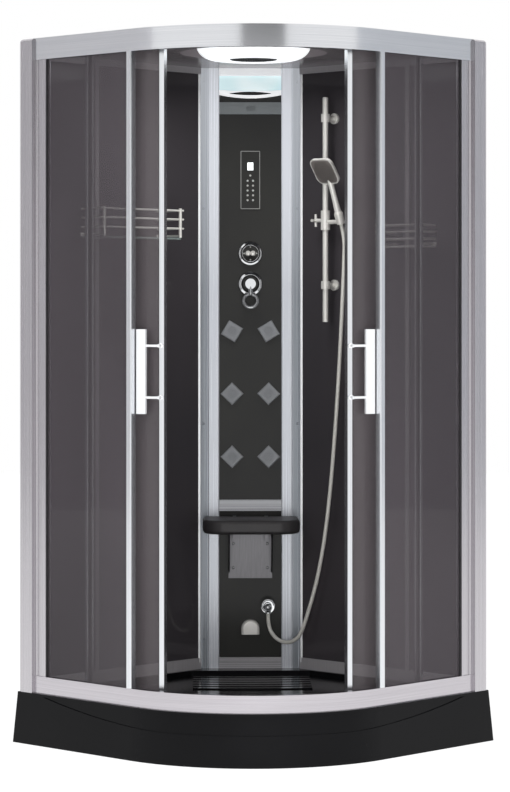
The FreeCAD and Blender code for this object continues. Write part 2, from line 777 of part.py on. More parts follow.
def make_outlets():
    """The steam outlet's half-round hood and the wall elbow that feeds the hand shower's hose."""
    fascia = COLUMN_Y + 8
    waist = 284.0
    dome = turned("dome", [(0, 0), (30, 0), (30, 16, 27.07, 23.07), (20, 26), (0, 26)], 180.0)
    dome.Placement = Placement(Vector(0, fascia, waist), Rotation(Vector(1, 0, 0), 90))
    lower = prism("lower", [
        (-30, 0), (-30, -16, -27.07, -23.07), (-20, -26), (20, -26, 27.07, -23.07), (30, -16), (30, 0),
    ], 266, waist)
    lower.Placement = Placement(Vector(0, fascia, 0), Rotation())
    mouth = box(-20, 20, fascia - 20, fascia - 4, 260, 276)
    sub_part(cut(fuse([dome, lower]), mouth), "steam_outlet")
    x, z = 57.0, 354.0
    flange = rod((x, fascia, z), (x, fascia - 6, z), 21)
    stem = rod((x, fascia - 5, z), (x, fascia - 36, z), 11)
    knee = ball((x, fascia - 36, z), 13)
    drop = rod((x, fascia - 36, z), (x, fascia - 36, z - 18), 9.5)
    hook = doc.addObject("Part::Torus", "hook")
    hook.Radius1 = 19
    hook.Radius2 = 3.2
    hook.Angle3 = 250
    hook.Placement = Placement(Vector(x, fascia - 46, z + 8), Rotation(Vector(1, 0, 0), 90))
    post = rod((x, fascia - 34, z + 2), (x, fascia - 50, z - 11), 4)
    sub_part(fuse([flange, stem, knee, drop, hook, post]), "hose_elbow")
    return Vector(x, fascia - 36, z - 18)


# ---------------------------------------------------------------- riser, slider, hand shower and hose


def make_riser():
    x, y = float(d.riser_from_wall), float(d.riser_along)
    foot, length = float(d.riser_foot), float(d.riser_length)
    radius = float(d.riser_radius)
    tube = turned("riser_tube", [
        (0, 0), (radius, 0), (radius, length - 2), (radius - 2, length), (0, length),
    ])
    sub_part(tube, "riser_rail", at(CORNER, x, y, foot))
    wall_face = 14.0
    brackets = []
    for height in (foot + length - 67, foot + 118):
        flange = rod((wall_face, y, height), (wall_face + 7, y, height), 17.5, CORNER)
        stem = rod((wall_face + 6, y, height), (x - radius - 1, y, height), 7, CORNER)
        collar = cut(
            rod((x, y, height - 13), (x, y, height + 13), 14, CORNER),
            rod((x, y, height - 14), (x, y, height + 14), radius, CORNER),
        )
        brackets.append(fuse([flange, stem, collar]))
    sub_part(group(brackets), "riser_brackets")


def make_hand_shower():
    """Slider on the riser, its tilting holder, and the hand shower resting in the holder."""
    x, y, z = float(d.riser_from_wall), float(d.riser_along), float(d.slider_height)
    reach = float(d.arm_reach)
    bore = float(d.riser_radius) + 0.1
    sleeve = rod((x, y, z - 31), (x, y, z + 31), 15, CORNER)
    knob_stem = rod((x, y, z), (x, y - 44, z), 6, CORNER)
    bar_one = rod((x, y - 42, z - 20), (x, y - 42, z + 20), 4.5, CORNER)
    bar_two = rod((x - 20, y - 42, z), (x + 20, y - 42, z), 4.5, CORNER)
    arm = rod((x, y, z - 6), (x, y + reach - 20.3, z - 6), 7, CORNER)
    arm_pin = rod((x, y + reach - 24, z - 6), (x, y + reach - 15, z - 6), 3, CORNER)
    whole = fuse([sleeve, knob_stem, bar_one, bar_two, arm, arm_pin])
    passage = rod((x, y, z - 40), (x, y, z + 40), bore, CORNER)
    sub_part(cut(whole, passage), "slider")

    lean = math.radians(20.8)
    along = Vector(math.sin(lean), 0, math.cos(lean))
    pivot = Vector(x, y + reach, z - 6)
    up_tilt = Rotation(UP, along)
    cone = turned("holder_cone", [(9.6, -6), (12.6, -6), (15, 28), (11.6, 28)])
    cone.Placement = CORNER.multiply(Placement(pivot, up_tilt))
    boss = cut(
        rod((x, y + reach - 20, z - 6), (x, y + reach - 10.5, z - 6), 7, CORNER),
        rod((x, y + reach - 21, z - 6), (x, y + reach - 14, z - 6), 3.05, CORNER),
    )
    sub_part(fuse([cone, boss]), "handset_holder")

    handle = turned("handle", [
        (0, 0), (9.2, 0), (11.2, 28), (13, 28), (13, 31), (10.5, 36), (9.0, 90), (9.5, 150), (0, 152),
    ])
    handle.Placement = CORNER.multiply(Placement(pivot, up_tilt))
    face_tilt = math.radians(35)
    outward = Vector(math.cos(face_tilt), 0, -math.sin(face_tilt))
    size = float(d.head_size)
    centre = pivot + along * 178 + outward * 4
    head = body("head")
    half = size / 2
    corners = [(-half, -half), (half, -half), (half, half), (-half, half)]
    pad(head, draw(sketch_on(head, lift=0.0), corners), 13.0)
    ease(head, "Fillet", 22.0, upright)
    ease(head, "Fillet", 8.0, lambda e: e.CenterOfMass.z < 0.01)
    head.Placement = CORNER.multiply(
        Placement(centre, Rotation(Vector(0, 1, 0), 90 + math.degrees(face_tilt)))
    )
    sub_part(fuse([handle, head]), "handset")
    return CORNER.multVec(pivot - along * 0.5)


def tube_path(points):
    """Straight runs joined by tangent arcs, each arc as large as its two runs allow."""
    edges = []
    here = points[0]
    for before, corner, after in zip(points, points[1:], points[2:]):
        back, ahead = (before - corner), (after - corner)
        turn = math.pi - back.getAngle(ahead)
        trim = 0.45 * min(back.Length, ahead.Length)
        radius = trim / math.tan(turn / 2)
        back.normalize()
        ahead.normalize()
        start, end = corner + back * trim, corner + ahead * trim
        inward = back + ahead
        inward.normalize()
        reach = radius / math.cos(turn / 2) - radius
        middle = corner + inward * reach
        edges.append(Part.LineSegment(here, start).toShape())
        edges.append(Part.Arc(start, middle, end).toShape())
        here = end
        print(f"hose bend radius {radius:.0f} mm, turn {math.degrees(turn):.0f} degrees")
    edges.append(Part.LineSegment(here, points[-1]).toShape())
    return Part.Wire(edges)


# The hose's route: sideways from the middle, back from the front face, height.
HOSE_ROUTE = (
    (297.4, 852.5, 1548), (296, 851, 1488), (291.5, 848, 1380), (284.2, 846, 1225), (275.5, 847.7, 1060),
    (264.5, 855.7, 895), (251.5, 865.2, 735), (234.5, 877.6, 585), (212, 894, 455), (182.6, 915.4, 345),
    (159.7, 932.1, 273.8), (134.5, 950.5, 249.4), (102.7, 973.7, 245.3), (74.0, 994.6, 262.6),
    (57.0, 1007.1, 296.2),
)


def make_hose(top, bottom):
    points = [top] + [Vector(x, FRONT_Y + y, z) for x, y, z in HOSE_ROUTE] + [bottom]
    path = tube_path(points)
    radius = float(d.hose_radius)
    start = path.Edges[0]
    ring = Part.Wire([Part.makeCircle(radius, points[0], start.tangentAt(start.FirstParameter))])
    tube = path.makePipe(Part.Face(ring))
    solid = tube if tube.ShapeType == "Solid" else tube.Solids[0]
    share = solid.Volume / (math.pi * radius ** 2 * path.Length)
    print(f"hose length {path.Length:.0f} mm, volume over section times length {share:.4f}")
    hose = doc.addObject("Part::Feature", "hose")
    hose.Shape = solid
    sub_part(hose, "shower_hose")


# ---------------------------------------------------------------- shelves and the hidden steam generator


def make_shelves():
    """Glass shelf with three chrome rails on the left wall, and a small railed corner rest on the right one."""
    bar = float(d.rail_bar_radius)
    reach = float(d.shelf_reach)
    glass_top = 1548.0
    plate = box(430, 775, 14, 14 + reach, glass_top - 6, glass_top, CORNER)
    sub_part(rounded(plate, 20, lambda e: upright(e) and abs(e.Length - 6) < 0.1), "shelf_glass")
    wall_face = 14.0

    def guard(x_low, x_high, reach, heights, base, swap):
        """Rails in front and at the two ends, on posts that stand on the base height."""
        def spot(x, y, z):
            return (y, x, z) if swap else (x, y, z)
        pieces = []
        front = wall_face + reach - 8
        for height in heights:
            pieces.append(rod(spot(x_low, front, height), spot(x_high, front, height), bar, CORNER))
            for x in (x_low + 14, x_high - 14):
                pieces.append(rod(spot(x, wall_face, height), spot(x, front, height), bar, CORNER))
        for x in (x_low + 14, x_high - 14):
            pieces.append(rod(spot(x, front, base), spot(x, front, heights[-1] + 7), bar + 2, CORNER))
            pieces.append(rod(spot(x, wall_face, base + 6), spot(x, wall_face + 5, base + 6), 5.9, CORNER))
            pieces.append(rod(spot(x, wall_face, base + 6), spot(x, front, base + 6), bar, CORNER))
        return fuse(pieces)

    left = guard(424, 781, reach, (1577, 1606, 1634), glass_top, False)
    right = guard(640, 830, reach * 0.8, (1540, 1562, 1583), 1519, True)
    tray = box(wall_face, wall_face + reach * 0.8 - 2, 652, 818, 1513, 1519, CORNER)
    sub_part(group([left, fuse([right, tray])]), "shelf_rails")


def make_steam_generator():
    """A five-sided steel tank that fills the space behind the column, with its outlet pipe."""
    back = CORNER_Y
    tank = prism("tank", [
        (-100, back - 150), (100, back - 150), (100, back - 125), (42, back - 67), (-42, back - 67),
        (-100, back - 125),
    ], d.tray_top, 470)
    pipe = rod((-13, back - 140, 300), (-13, COLUMN_Y + 14, 300), 8)
    riser = rod((0, back - 110, 468), (0, back - 110, 1500), 9)
    sub_part(fuse([tank, pipe, riser]), "steam_generator")


# ---------------------------------------------------------------- doors


def door_frame():
    """Carries a door from its closed place, centred on the arc, to its open place at rest."""
    pole = Vector(float(d.door_pole_side), FRONT_Y + float(d.door_pole_back), 0)
    swing = Placement(pole, Rotation(UP, -float(d.door_open_angle)))
    return swing.multiply(Placement(pole.negative(), Rotation()))


def door_spot(radius, angle, height):
    """A point of the closed left door: distance from the arc's axis, angle from the middle, height."""
    turn = math.radians(angle)
    axis = ARC.Base
    return Vector(axis.x - radius * math.sin(turn), axis.y - radius * math.cos(turn), height)


def door_sector(name, r_low, r_high, a_low, a_high, z_low, z_high):
    """A curved slab of the left door between two radii, angles and heights."""
    slab = turned(name, [(r_low, z_low), (r_high, z_low), (r_high, z_high), (r_low, z_high)], a_high - a_low)
    closed = Placement(ARC.Base, Rotation(UP, -90 - a_high))
    slab.Placement = door_frame().multiply(closed)
    return slab


def door_rod(start, end, radius):
    bar = rod(start, end, radius)
    bar.Placement = door_frame().multiply(bar.Placement)
    return bar


ROLLER_ANGLES = {"front": 9.0, "rear": 38.0}


def make_doors():
    line = d.arc_radius - d.door_line
    per_degree = math.radians(1) * float(line)
    lead, trail = float(d.lead_stile) / per_degree, float(d.trail_stile) / per_degree
    first, last = 0.07, 44.9
    low = d.tray_top + 31
    high = d.cabin_top - 54
    half_glass = d.glass_thick / 2
    half_stile = d.door_stile_depth / 2
    glass = door_sector(
        "door_glass", line - half_glass, line + half_glass, first + lead, last - trail, low, high
    )
    both_sides(glass, "door_glass")
    stiles = [
        door_sector("lead_stile", line - half_stile, line + half_stile, first, first + lead, low, high),
        door_sector("trail_stile", line - half_stile, line + half_stile, last - trail, last, low, high),
    ]
    both_sides(group(stiles), "door_stiles")

    wheel, thin = float(d.wheel_radius), float(d.axle_radius)
    track = float(d.cabin_top) - 45
    axle_z = track + wheel + 0.3
    middle = float(line)
    hangers = []
    for spot, angle in ROLLER_ANGLES.items():
        plate = door_sector("hanger", middle - 1.5, middle + 1.5, angle - 1.0, angle + 1.0, float(high), axle_z + 6)
        bore = door_rod(door_spot(middle - 5, angle, axle_z), door_spot(middle + 5, angle, axle_z), thin + 0.08)
        hangers.append(cut(plate, bore))
        axle = door_rod(door_spot(middle - 19, angle, axle_z), door_spot(middle + 19, angle, axle_z), thin)
        wheels = [
            door_rod(
                door_spot(middle + r - float(d.wheel_width) / 2, angle, axle_z),
                door_spot(middle + r + float(d.wheel_width) / 2, angle, axle_z), wheel,
            ) for r in (-15.5, 15.5)
        ]
        both_sides(fuse([axle] + wheels), f"roller_{spot}")
    both_sides(group(hangers), "door_hangers")

    centre_z = 1138.0
    tall = float(d.handle_height) / 2
    wide = math.degrees(float(d.handle_width) / 2 / 476.0)
    bar = door_sector("pull", 472, 480, 8.2 - wide, 8.2 + wide, centre_z - tall, centre_z + tall)
    pieces = [bar]
    outer = float(line + half_stile)
    for height in (centre_z - 76, centre_z + 76):
        elbow = door_spot(474, 1.6, height)
        pieces.append(door_rod(door_spot(outer + 2, 1.25, height), elbow, 5))
        pieces.append(door_rod(elbow, door_spot(474, 7.2, height), 4))
        pieces.append(door_rod(door_spot(outer, 1.25, height), door_spot(outer + 4, 1.25, height), 8))
    both_sides(fuse(pieces), "door_handle")


# ---------------------------------------------------------------- assembly

make_tray()
make_tray_frame()
make_rails()
make_posts()
make_walls()
make_roof()
make_column()
lever_pivot = make_controls()
make_jets()
seat_pin = make_seat()
hose_foot = make_outlets()
make_riser()
hose_head = make_hand_shower()
make_hose(hose_head, hose_foot)
make_shelves()
make_steam_generator()
make_doors()

doc.recompute()
for thing in doc.Objects:
    if "Invalid" in thing.State or "Error" in thing.State:
        owners = [o.Label for o in thing.InList]
        raise RuntimeError(f"{thing.Label} in {owners} failed: {thing.State}")
for thing in SUB_PARTS:
    if thing.Shape.isNull() or not thing.Shape.isValid():
        raise RuntimeError(f"{thing.Label} has no valid shape")

os.makedirs("parts", exist_ok=True)
for thing in SUB_PARTS:
    thing.Shape.exportStep(f"parts/{thing.Label}.step")
    box_now = thing.Shape.BoundBox
    print(f"{thing.Label:22s} solids {len(thing.Shape.Solids):2d} volume {thing.Shape.Volume / 1000:10.1f} cm3 "
          f"x {box_now.XMin:7.1f} {box_now.XMax:7.1f} y {box_now.YMin:7.1f} {box_now.YMax:7.1f} "
          f"z {box_now.ZMin:7.1f} {box_now.ZMax:7.1f}")
pole_left = Vector(-0.0 + float(d.door_pole_side), FRONT_Y + float(d.door_pole_back), 0)
print("door pole", pole_left, "lever pivot", lever_pivot, "seat pin", seat_pin)
print("hose head", hose_head, "sub-parts", len(SUB_PARTS))
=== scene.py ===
"""Looks of a quadrant steam shower cabin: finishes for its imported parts, and the fine pieces around them."""

import math

import bmesh
import bpy
import numpy as np
from bpy.props import FloatProperty, FloatVectorProperty, PointerProperty
from mathutils import Matrix, Vector


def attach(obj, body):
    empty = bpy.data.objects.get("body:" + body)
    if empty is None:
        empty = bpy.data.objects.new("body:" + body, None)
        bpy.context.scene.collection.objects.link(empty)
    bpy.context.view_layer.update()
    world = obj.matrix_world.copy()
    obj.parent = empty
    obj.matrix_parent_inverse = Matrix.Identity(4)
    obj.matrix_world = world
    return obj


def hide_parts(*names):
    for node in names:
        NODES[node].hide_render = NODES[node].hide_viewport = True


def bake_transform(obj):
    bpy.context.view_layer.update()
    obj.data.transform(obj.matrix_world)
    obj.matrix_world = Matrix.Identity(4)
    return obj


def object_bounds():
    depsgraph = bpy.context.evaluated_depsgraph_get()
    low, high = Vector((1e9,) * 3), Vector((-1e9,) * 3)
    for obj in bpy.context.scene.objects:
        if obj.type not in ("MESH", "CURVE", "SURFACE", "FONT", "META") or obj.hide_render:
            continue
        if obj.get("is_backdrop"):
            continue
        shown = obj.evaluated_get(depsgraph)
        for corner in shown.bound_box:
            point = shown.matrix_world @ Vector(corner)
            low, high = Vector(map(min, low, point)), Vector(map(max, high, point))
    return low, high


bl_info = {
    "name": "Steam Shower Cabin",
    "version": (1, 0, 0),
    "blender": (4, 5, 0),
    "location": "View3D > Sidebar > Cabin",
    "description": "Dresses a quadrant steam shower cabin with real finishes and fine parts",
    "category": "Add Mesh",
}

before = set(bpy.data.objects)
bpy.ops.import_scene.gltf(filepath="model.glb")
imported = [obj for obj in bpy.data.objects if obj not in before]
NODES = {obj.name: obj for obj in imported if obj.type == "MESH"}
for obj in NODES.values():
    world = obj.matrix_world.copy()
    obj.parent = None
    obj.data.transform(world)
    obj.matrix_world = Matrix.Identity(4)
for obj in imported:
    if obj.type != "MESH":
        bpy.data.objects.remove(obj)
CAD_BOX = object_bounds()


# ---------------------------------------------------------------- colours and nodes

# Millimetres in a metre, for patterns and reliefs that are given by their real size.
MM = 1000.0


def hex_linear(text):
    """A '#rrggbb' sRGB colour as linear RGBA."""
    rgb = np.array([int(text[i : i + 2], 16) for i in (1, 3, 5)]) / 255.0
    linear = np.where(rgb <= 0.04045, rgb / 12.92, ((rgb + 0.055) / 1.055) ** 2.4)
    return (*linear.tolist(), 1.0)


def add(tree, kind, inputs=None, **settings):
    """Adds one node, gives it its settings, and sets or links its inputs."""
    node = tree.nodes.new(kind)
    for name, value in settings.items():
        setattr(node, name, value)
    for name, value in (inputs or {}).items():
        if isinstance(value, bpy.types.NodeSocket):
            tree.links.new(value, node.inputs[name])
        else:
            node.inputs[name].default_value = value
    return node


def start_material(name, **sockets):
    """A new material with one Principled shader, and constants set on the shader's own sockets."""
    material = bpy.data.materials.new(name)
    material.use_nodes = True
    tree = material.node_tree
    shader = tree.nodes["Principled BSDF"]
    for socket, value in sockets.items():
        shader.inputs[socket.replace("_", " ")].default_value = value
    return material, tree, shader


def object_coordinates(tree, scale=(1.0, 1.0, 1.0)):
    """Object coordinates through a Mapping node, so a pattern keeps its real size."""
    source = add(tree, "ShaderNodeTexCoord")
    inputs = {"Vector": source.outputs["Object"], "Scale": scale}
    return add(tree, "ShaderNodeMapping", inputs).outputs["Vector"]


def object_axes(tree):
    """The object coordinates as three sockets, X, Y and Z."""
    source = add(tree, "ShaderNodeTexCoord")
    return add(tree, "ShaderNodeSeparateXYZ", {"Vector": source.outputs["Object"]}).outputs


def maths(tree, operation, *values):
    """The result of one Math node over sockets or numbers."""
    return add(tree, "ShaderNodeMath", dict(enumerate(values)), operation=operation).outputs[0]


def noise(tree, coords, scale=1.0, **inputs):
    """The factor of a noise pattern, its scale counted along the given coordinates."""
    return add(tree, "ShaderNodeTexNoise", {"Vector": coords, "Scale": scale, **inputs}).outputs["Fac"]


def ramp(tree, factor, stops):
    """A Color Ramp over the given stops: a position with a hex colour or a linear one."""
    node = add(tree, "ShaderNodeValToRGB", {"Fac": factor})
    elements = node.color_ramp.elements
    while len(elements) < len(stops):
        elements.new(0.5)
    for element, (position, colour) in zip(elements, stops):
        element.position = position
        element.color = hex_linear(colour) if isinstance(colour, str) else colour
    return node.outputs["Color"]


def colour_by(tree, shader, factor, stops, socket="Base Color"):
    """Drives one of the shader's colours with a pattern through a Color Ramp."""
    tree.links.new(ramp(tree, factor, stops), shader.inputs[socket])


def rough_range(tree, shader, factor, low, high):
    """Drives roughness between two values with a pattern."""
    spread = add(tree, "ShaderNodeMapRange", {"Value": factor, "To Min": low, "To Max": high})
    tree.links.new(spread.outputs["Result"], shader.inputs["Roughness"])


def bump(tree, shader, height, strength, millimetres):
    """Adds relief of a real depth to a shader."""
    inputs = {"Height": height, "Strength": strength, "Distance": millimetres / MM}
    tree.links.new(add(tree, "ShaderNodeBump", inputs).outputs["Normal"], shader.inputs["Normal"])


# ---------------------------------------------------------------- finishes

# Scales of the fine lines that drawing through a die leaves, about 2 mm wide: along an upright, along a
# level bar, and along the rails, which go around the quadrant.
DIE_LINE = MM / 2.0
UPRIGHT = (DIE_LINE, DIE_LINE, 1.0)
CROSSWISE = (1.0, DIE_LINE, DIE_LINE)
AROUND = (2.0, 2.0, DIE_LINE)

# Belt grinding of sheet: upright marks 0.625 mm wide and 50 mm long.
GROUND = (MM / 0.625, MM / 0.625, MM / 50.0)

# A ramp runs from nought to one, so heights of up to 2.2 m are multiplied by this before they enter one.
HEIGHT_SHARE = 0.45


def extruded_aluminium(name, light, dark, lines, roughness, metallic=1.0):
    """Bright-dipped, anodised extrusion: a clear silver with faint die lines along its length."""
    material, tree, shader = start_material(name, Metallic=metallic)
    streaks = noise(tree, object_coordinates(tree, lines), Detail=3.0, Roughness=0.6)
    colour_by(tree, shader, streaks, [(0.3, dark), (0.7, light)])
    rough_range(tree, shader, streaks, *roughness)
    bump(tree, shader, streaks, strength=0.06, millimetres=0.05)
    return material


def chrome_plate(name):
    """Polished chrome plate: a mirror with the soft cast of wiped water marks about 17 mm wide."""
    material, tree, shader = start_material(name, Metallic=1.0, Base_Color=hex_linear("#e4e6e8"))
    marks = noise(tree, object_coordinates(tree), scale=60.0, Detail=4.0)
    rough_range(tree, shader, marks, low=0.05, high=0.12)
    return material


def satin_chrome(name, colour="#e9e7e2"):
    """Satin chrome over moulded ABS: a pale warm silver that keeps its tone in a dark room."""
    material, tree, shader = start_material(name, Metallic=0.45, Base_Color=hex_linear(colour))
    marks = noise(tree, object_coordinates(tree), scale=90.0, Detail=3.0)
    rough_range(tree, shader, marks, low=0.16, high=0.26)
    return material


def column_aluminium(name):
    """Wide anodised extrusion: a bright inner land, beyond the groove at 137 mm a blue-grey
    outer flute, and near its top a painted glow for the lit panel's spill, as the metal is no lamp."""
    material, tree, shader = start_material(name, Metallic=0.5, Emission_Strength=1.0)
    axes = object_axes(tree)
    away = maths(tree, "ABSOLUTE", axes["X"])
    colour_by(tree, shader, away, [(0.1364, "#ced1d8"), (0.1376, "#8d9298")])
    height = maths(tree, "MULTIPLY", axes["Z"], HEIGHT_SHARE)
    # Painted glow: emission towards the top stands in for the lit panel's light on the metal.
    colour_by(tree, shader, height, [(0.62, "#000000"), (0.92, "#8a8c90")], "Emission Color")
    streaks = noise(tree, object_coordinates(tree, UPRIGHT), Detail=3.0, Roughness=0.6)
    rough_range(tree, shader, streaks, low=0.2, high=0.32)
    bump(tree, shader, streaks, strength=0.08, millimetres=0.05)
    return material


def column_bar_aluminium(name):
    """The column's cross bars: the same extrusion, with a painted gradient of light, greyer towards the foot
    and near white towards the top, and on the top one a painted glow for the lit panel's spill."""
    material, tree, shader = start_material(name, Metallic=0.3, Emission_Strength=1.0)
    height = maths(tree, "MULTIPLY", object_axes(tree)["Z"], HEIGHT_SHARE)
    # Painted light: the bars go from grey at the foot to near white at the top.
    colour_by(tree, shader, height, [(0.12, "#99979a"), (0.3, "#a5a6aa"), (0.85, "#f7f8fa")])
    # Painted glow: emission on the top bar stands in for the lit panel's light.
    colour_by(tree, shader, height, [(0.85, "#000000"), (0.9, "#8c8e90")], "Emission Color")
    streaks = noise(tree, object_coordinates(tree, CROSSWISE), Detail=3.0)
    rough_range(tree, shader, streaks, low=0.22, high=0.34)
    return material


def smoked_glass(name, tint, lighter, veil):
    """Body-tinted toughened glass: a brown-grey veil, with faint roller waves that bend its reflections."""
    sockets = {"Roughness": 0.02, "IOR": 1.52, "Alpha": veil, "Specular_IOR_Level": 0.35}
    material, tree, shader = start_material(name, **sockets)
    coords = object_coordinates(tree, (1.2, 1.2, 0.5))
    cloud = noise(tree, coords, scale=2.0, Detail=1.0)
    colour_by(tree, shader, cloud, [(0.35, tint), (0.65, lighter)])
    waves = noise(tree, coords, scale=6.0, Detail=0.0)
    bump(tree, shader, waves, strength=0.05, millimetres=1.0)
    return material


def painted_glass(name):
    """Charcoal back-painted wall glass: deep and even, with a clean gloss."""
    material, tree, shader = start_material(name, Roughness=0.06, IOR=1.52, Specular_IOR_Level=0.35)
    cloud = noise(tree, object_coordinates(tree), scale=1.5, Detail=2.0)
    colour_by(tree, shader, cloud, [(0.3, "#383639"), (0.7, "#3f3b3e")])
    return material


def clear_glass(name):
    """Clear toughened shelf glass: barely green, glossy."""
    sockets = {"Roughness": 0.03, "IOR": 1.52, "Alpha": 0.35, "Specular_IOR_Level": 1.0}
    material, tree, shader = start_material(name, **sockets)
    cloud = noise(tree, object_coordinates(tree), scale=8.0)
    colour_by(tree, shader, cloud, [(0.3, "#9fb0ac"), (0.7, "#b4c2be")])
    return material


def cast_acrylic(name, base, high, roughness, gloss):
    """Vacuum-formed acrylic sheet: deep gloss with the faint orange peel of forming, about 8 mm wide."""
    material, tree, shader = start_material(name, IOR=1.49, Specular_IOR_Level=gloss)
    coords = object_coordinates(tree)
    cloud = noise(tree, coords, scale=3.0, Detail=3.0)
    colour_by(tree, shader, cloud, [(0.3, base), (0.7, high)])
    rough_range(tree, shader, cloud, *roughness)
    peel = noise(tree, coords, scale=120.0, Detail=1.0)
    bump(tree, shader, peel, strength=0.02, millimetres=0.5)
    return material


def moulded_plastic(name, base, high, grain_mm=1.2, roughness=(0.38, 0.55), relief=0.12):
    """Injection-moulded ABS with a spark-eroded grain of about the given pitch."""
    material, tree, shader = start_material(name, IOR=1.5)
    grain = noise(tree, object_coordinates(tree, (MM / grain_mm,) * 3), Detail=2.0)
    colour_by(tree, shader, grain, [(0.3, base), (0.7, high)])
    rough_range(tree, shader, grain, *roughness)
    bump(tree, shader, grain, strength=relief, millimetres=0.1)
    return material


def lit_diffuser(name, colour, strength, body="#eef2f4"):
    """Opal acrylic lit from behind: nearly even, with soft brighter clouds; on the white visor, which is no
    lamp, the same glow is painted light.
    """
    sockets = {"Roughness": 0.35, "Base_Color": hex_linear(body), "Emission_Strength": strength}
    material, tree, shader = start_material(name, **sockets)
    cloud = noise(tree, object_coordinates(tree), scale=6.0, Detail=1.0)
    colour_by(tree, shader, cloud, [(0.3, colour), (0.7, "#ffffff")], "Emission Color")
    return material


def brushed_steel(name, light="#a9abad", dark="#8d8f91"):
    """Stainless or galvanised steel with a vertical belt-ground grain about half a millimetre wide."""
    material, tree, shader = start_material(name, Metallic=1.0)
    grain = noise(tree, object_coordinates(tree, GROUND), Detail=2.0)
    colour_by(tree, shader, grain, [(0.3, dark), (0.7, light)])
    rough_range(tree, shader, grain, low=0.28, high=0.42)
    bump(tree, shader, grain, strength=0.2, millimetres=0.05)
    return material


def ribbed_hose(name):
    """PVC shower hose: a metallic grey spiral under a clear skin, its bands laid by the hose's own map."""
    sockets = {"Roughness": 0.25, "IOR": 1.53, "Metallic": 0.15, "Coat_Weight": 0.4}
    material, tree, shader = start_material(name, **sockets)
    uv = add(tree, "ShaderNodeUVMap", uv_map="along").outputs["UV"]
    waves = {"Vector": uv, "Scale": 1.0, "Distortion": 0.0}
    bands = add(tree, "ShaderNodeTexWave", waves, wave_type="BANDS", bands_direction="DIAGONAL")
    spiral = bands.outputs["Fac"]
    colour_by(tree, shader, spiral, [(0.2, "#b3b1aa"), (0.8, "#eae8e2")])
    bump(tree, shader, spiral, strength=0.6, millimetres=0.6)
    return material


FINISHES = {}


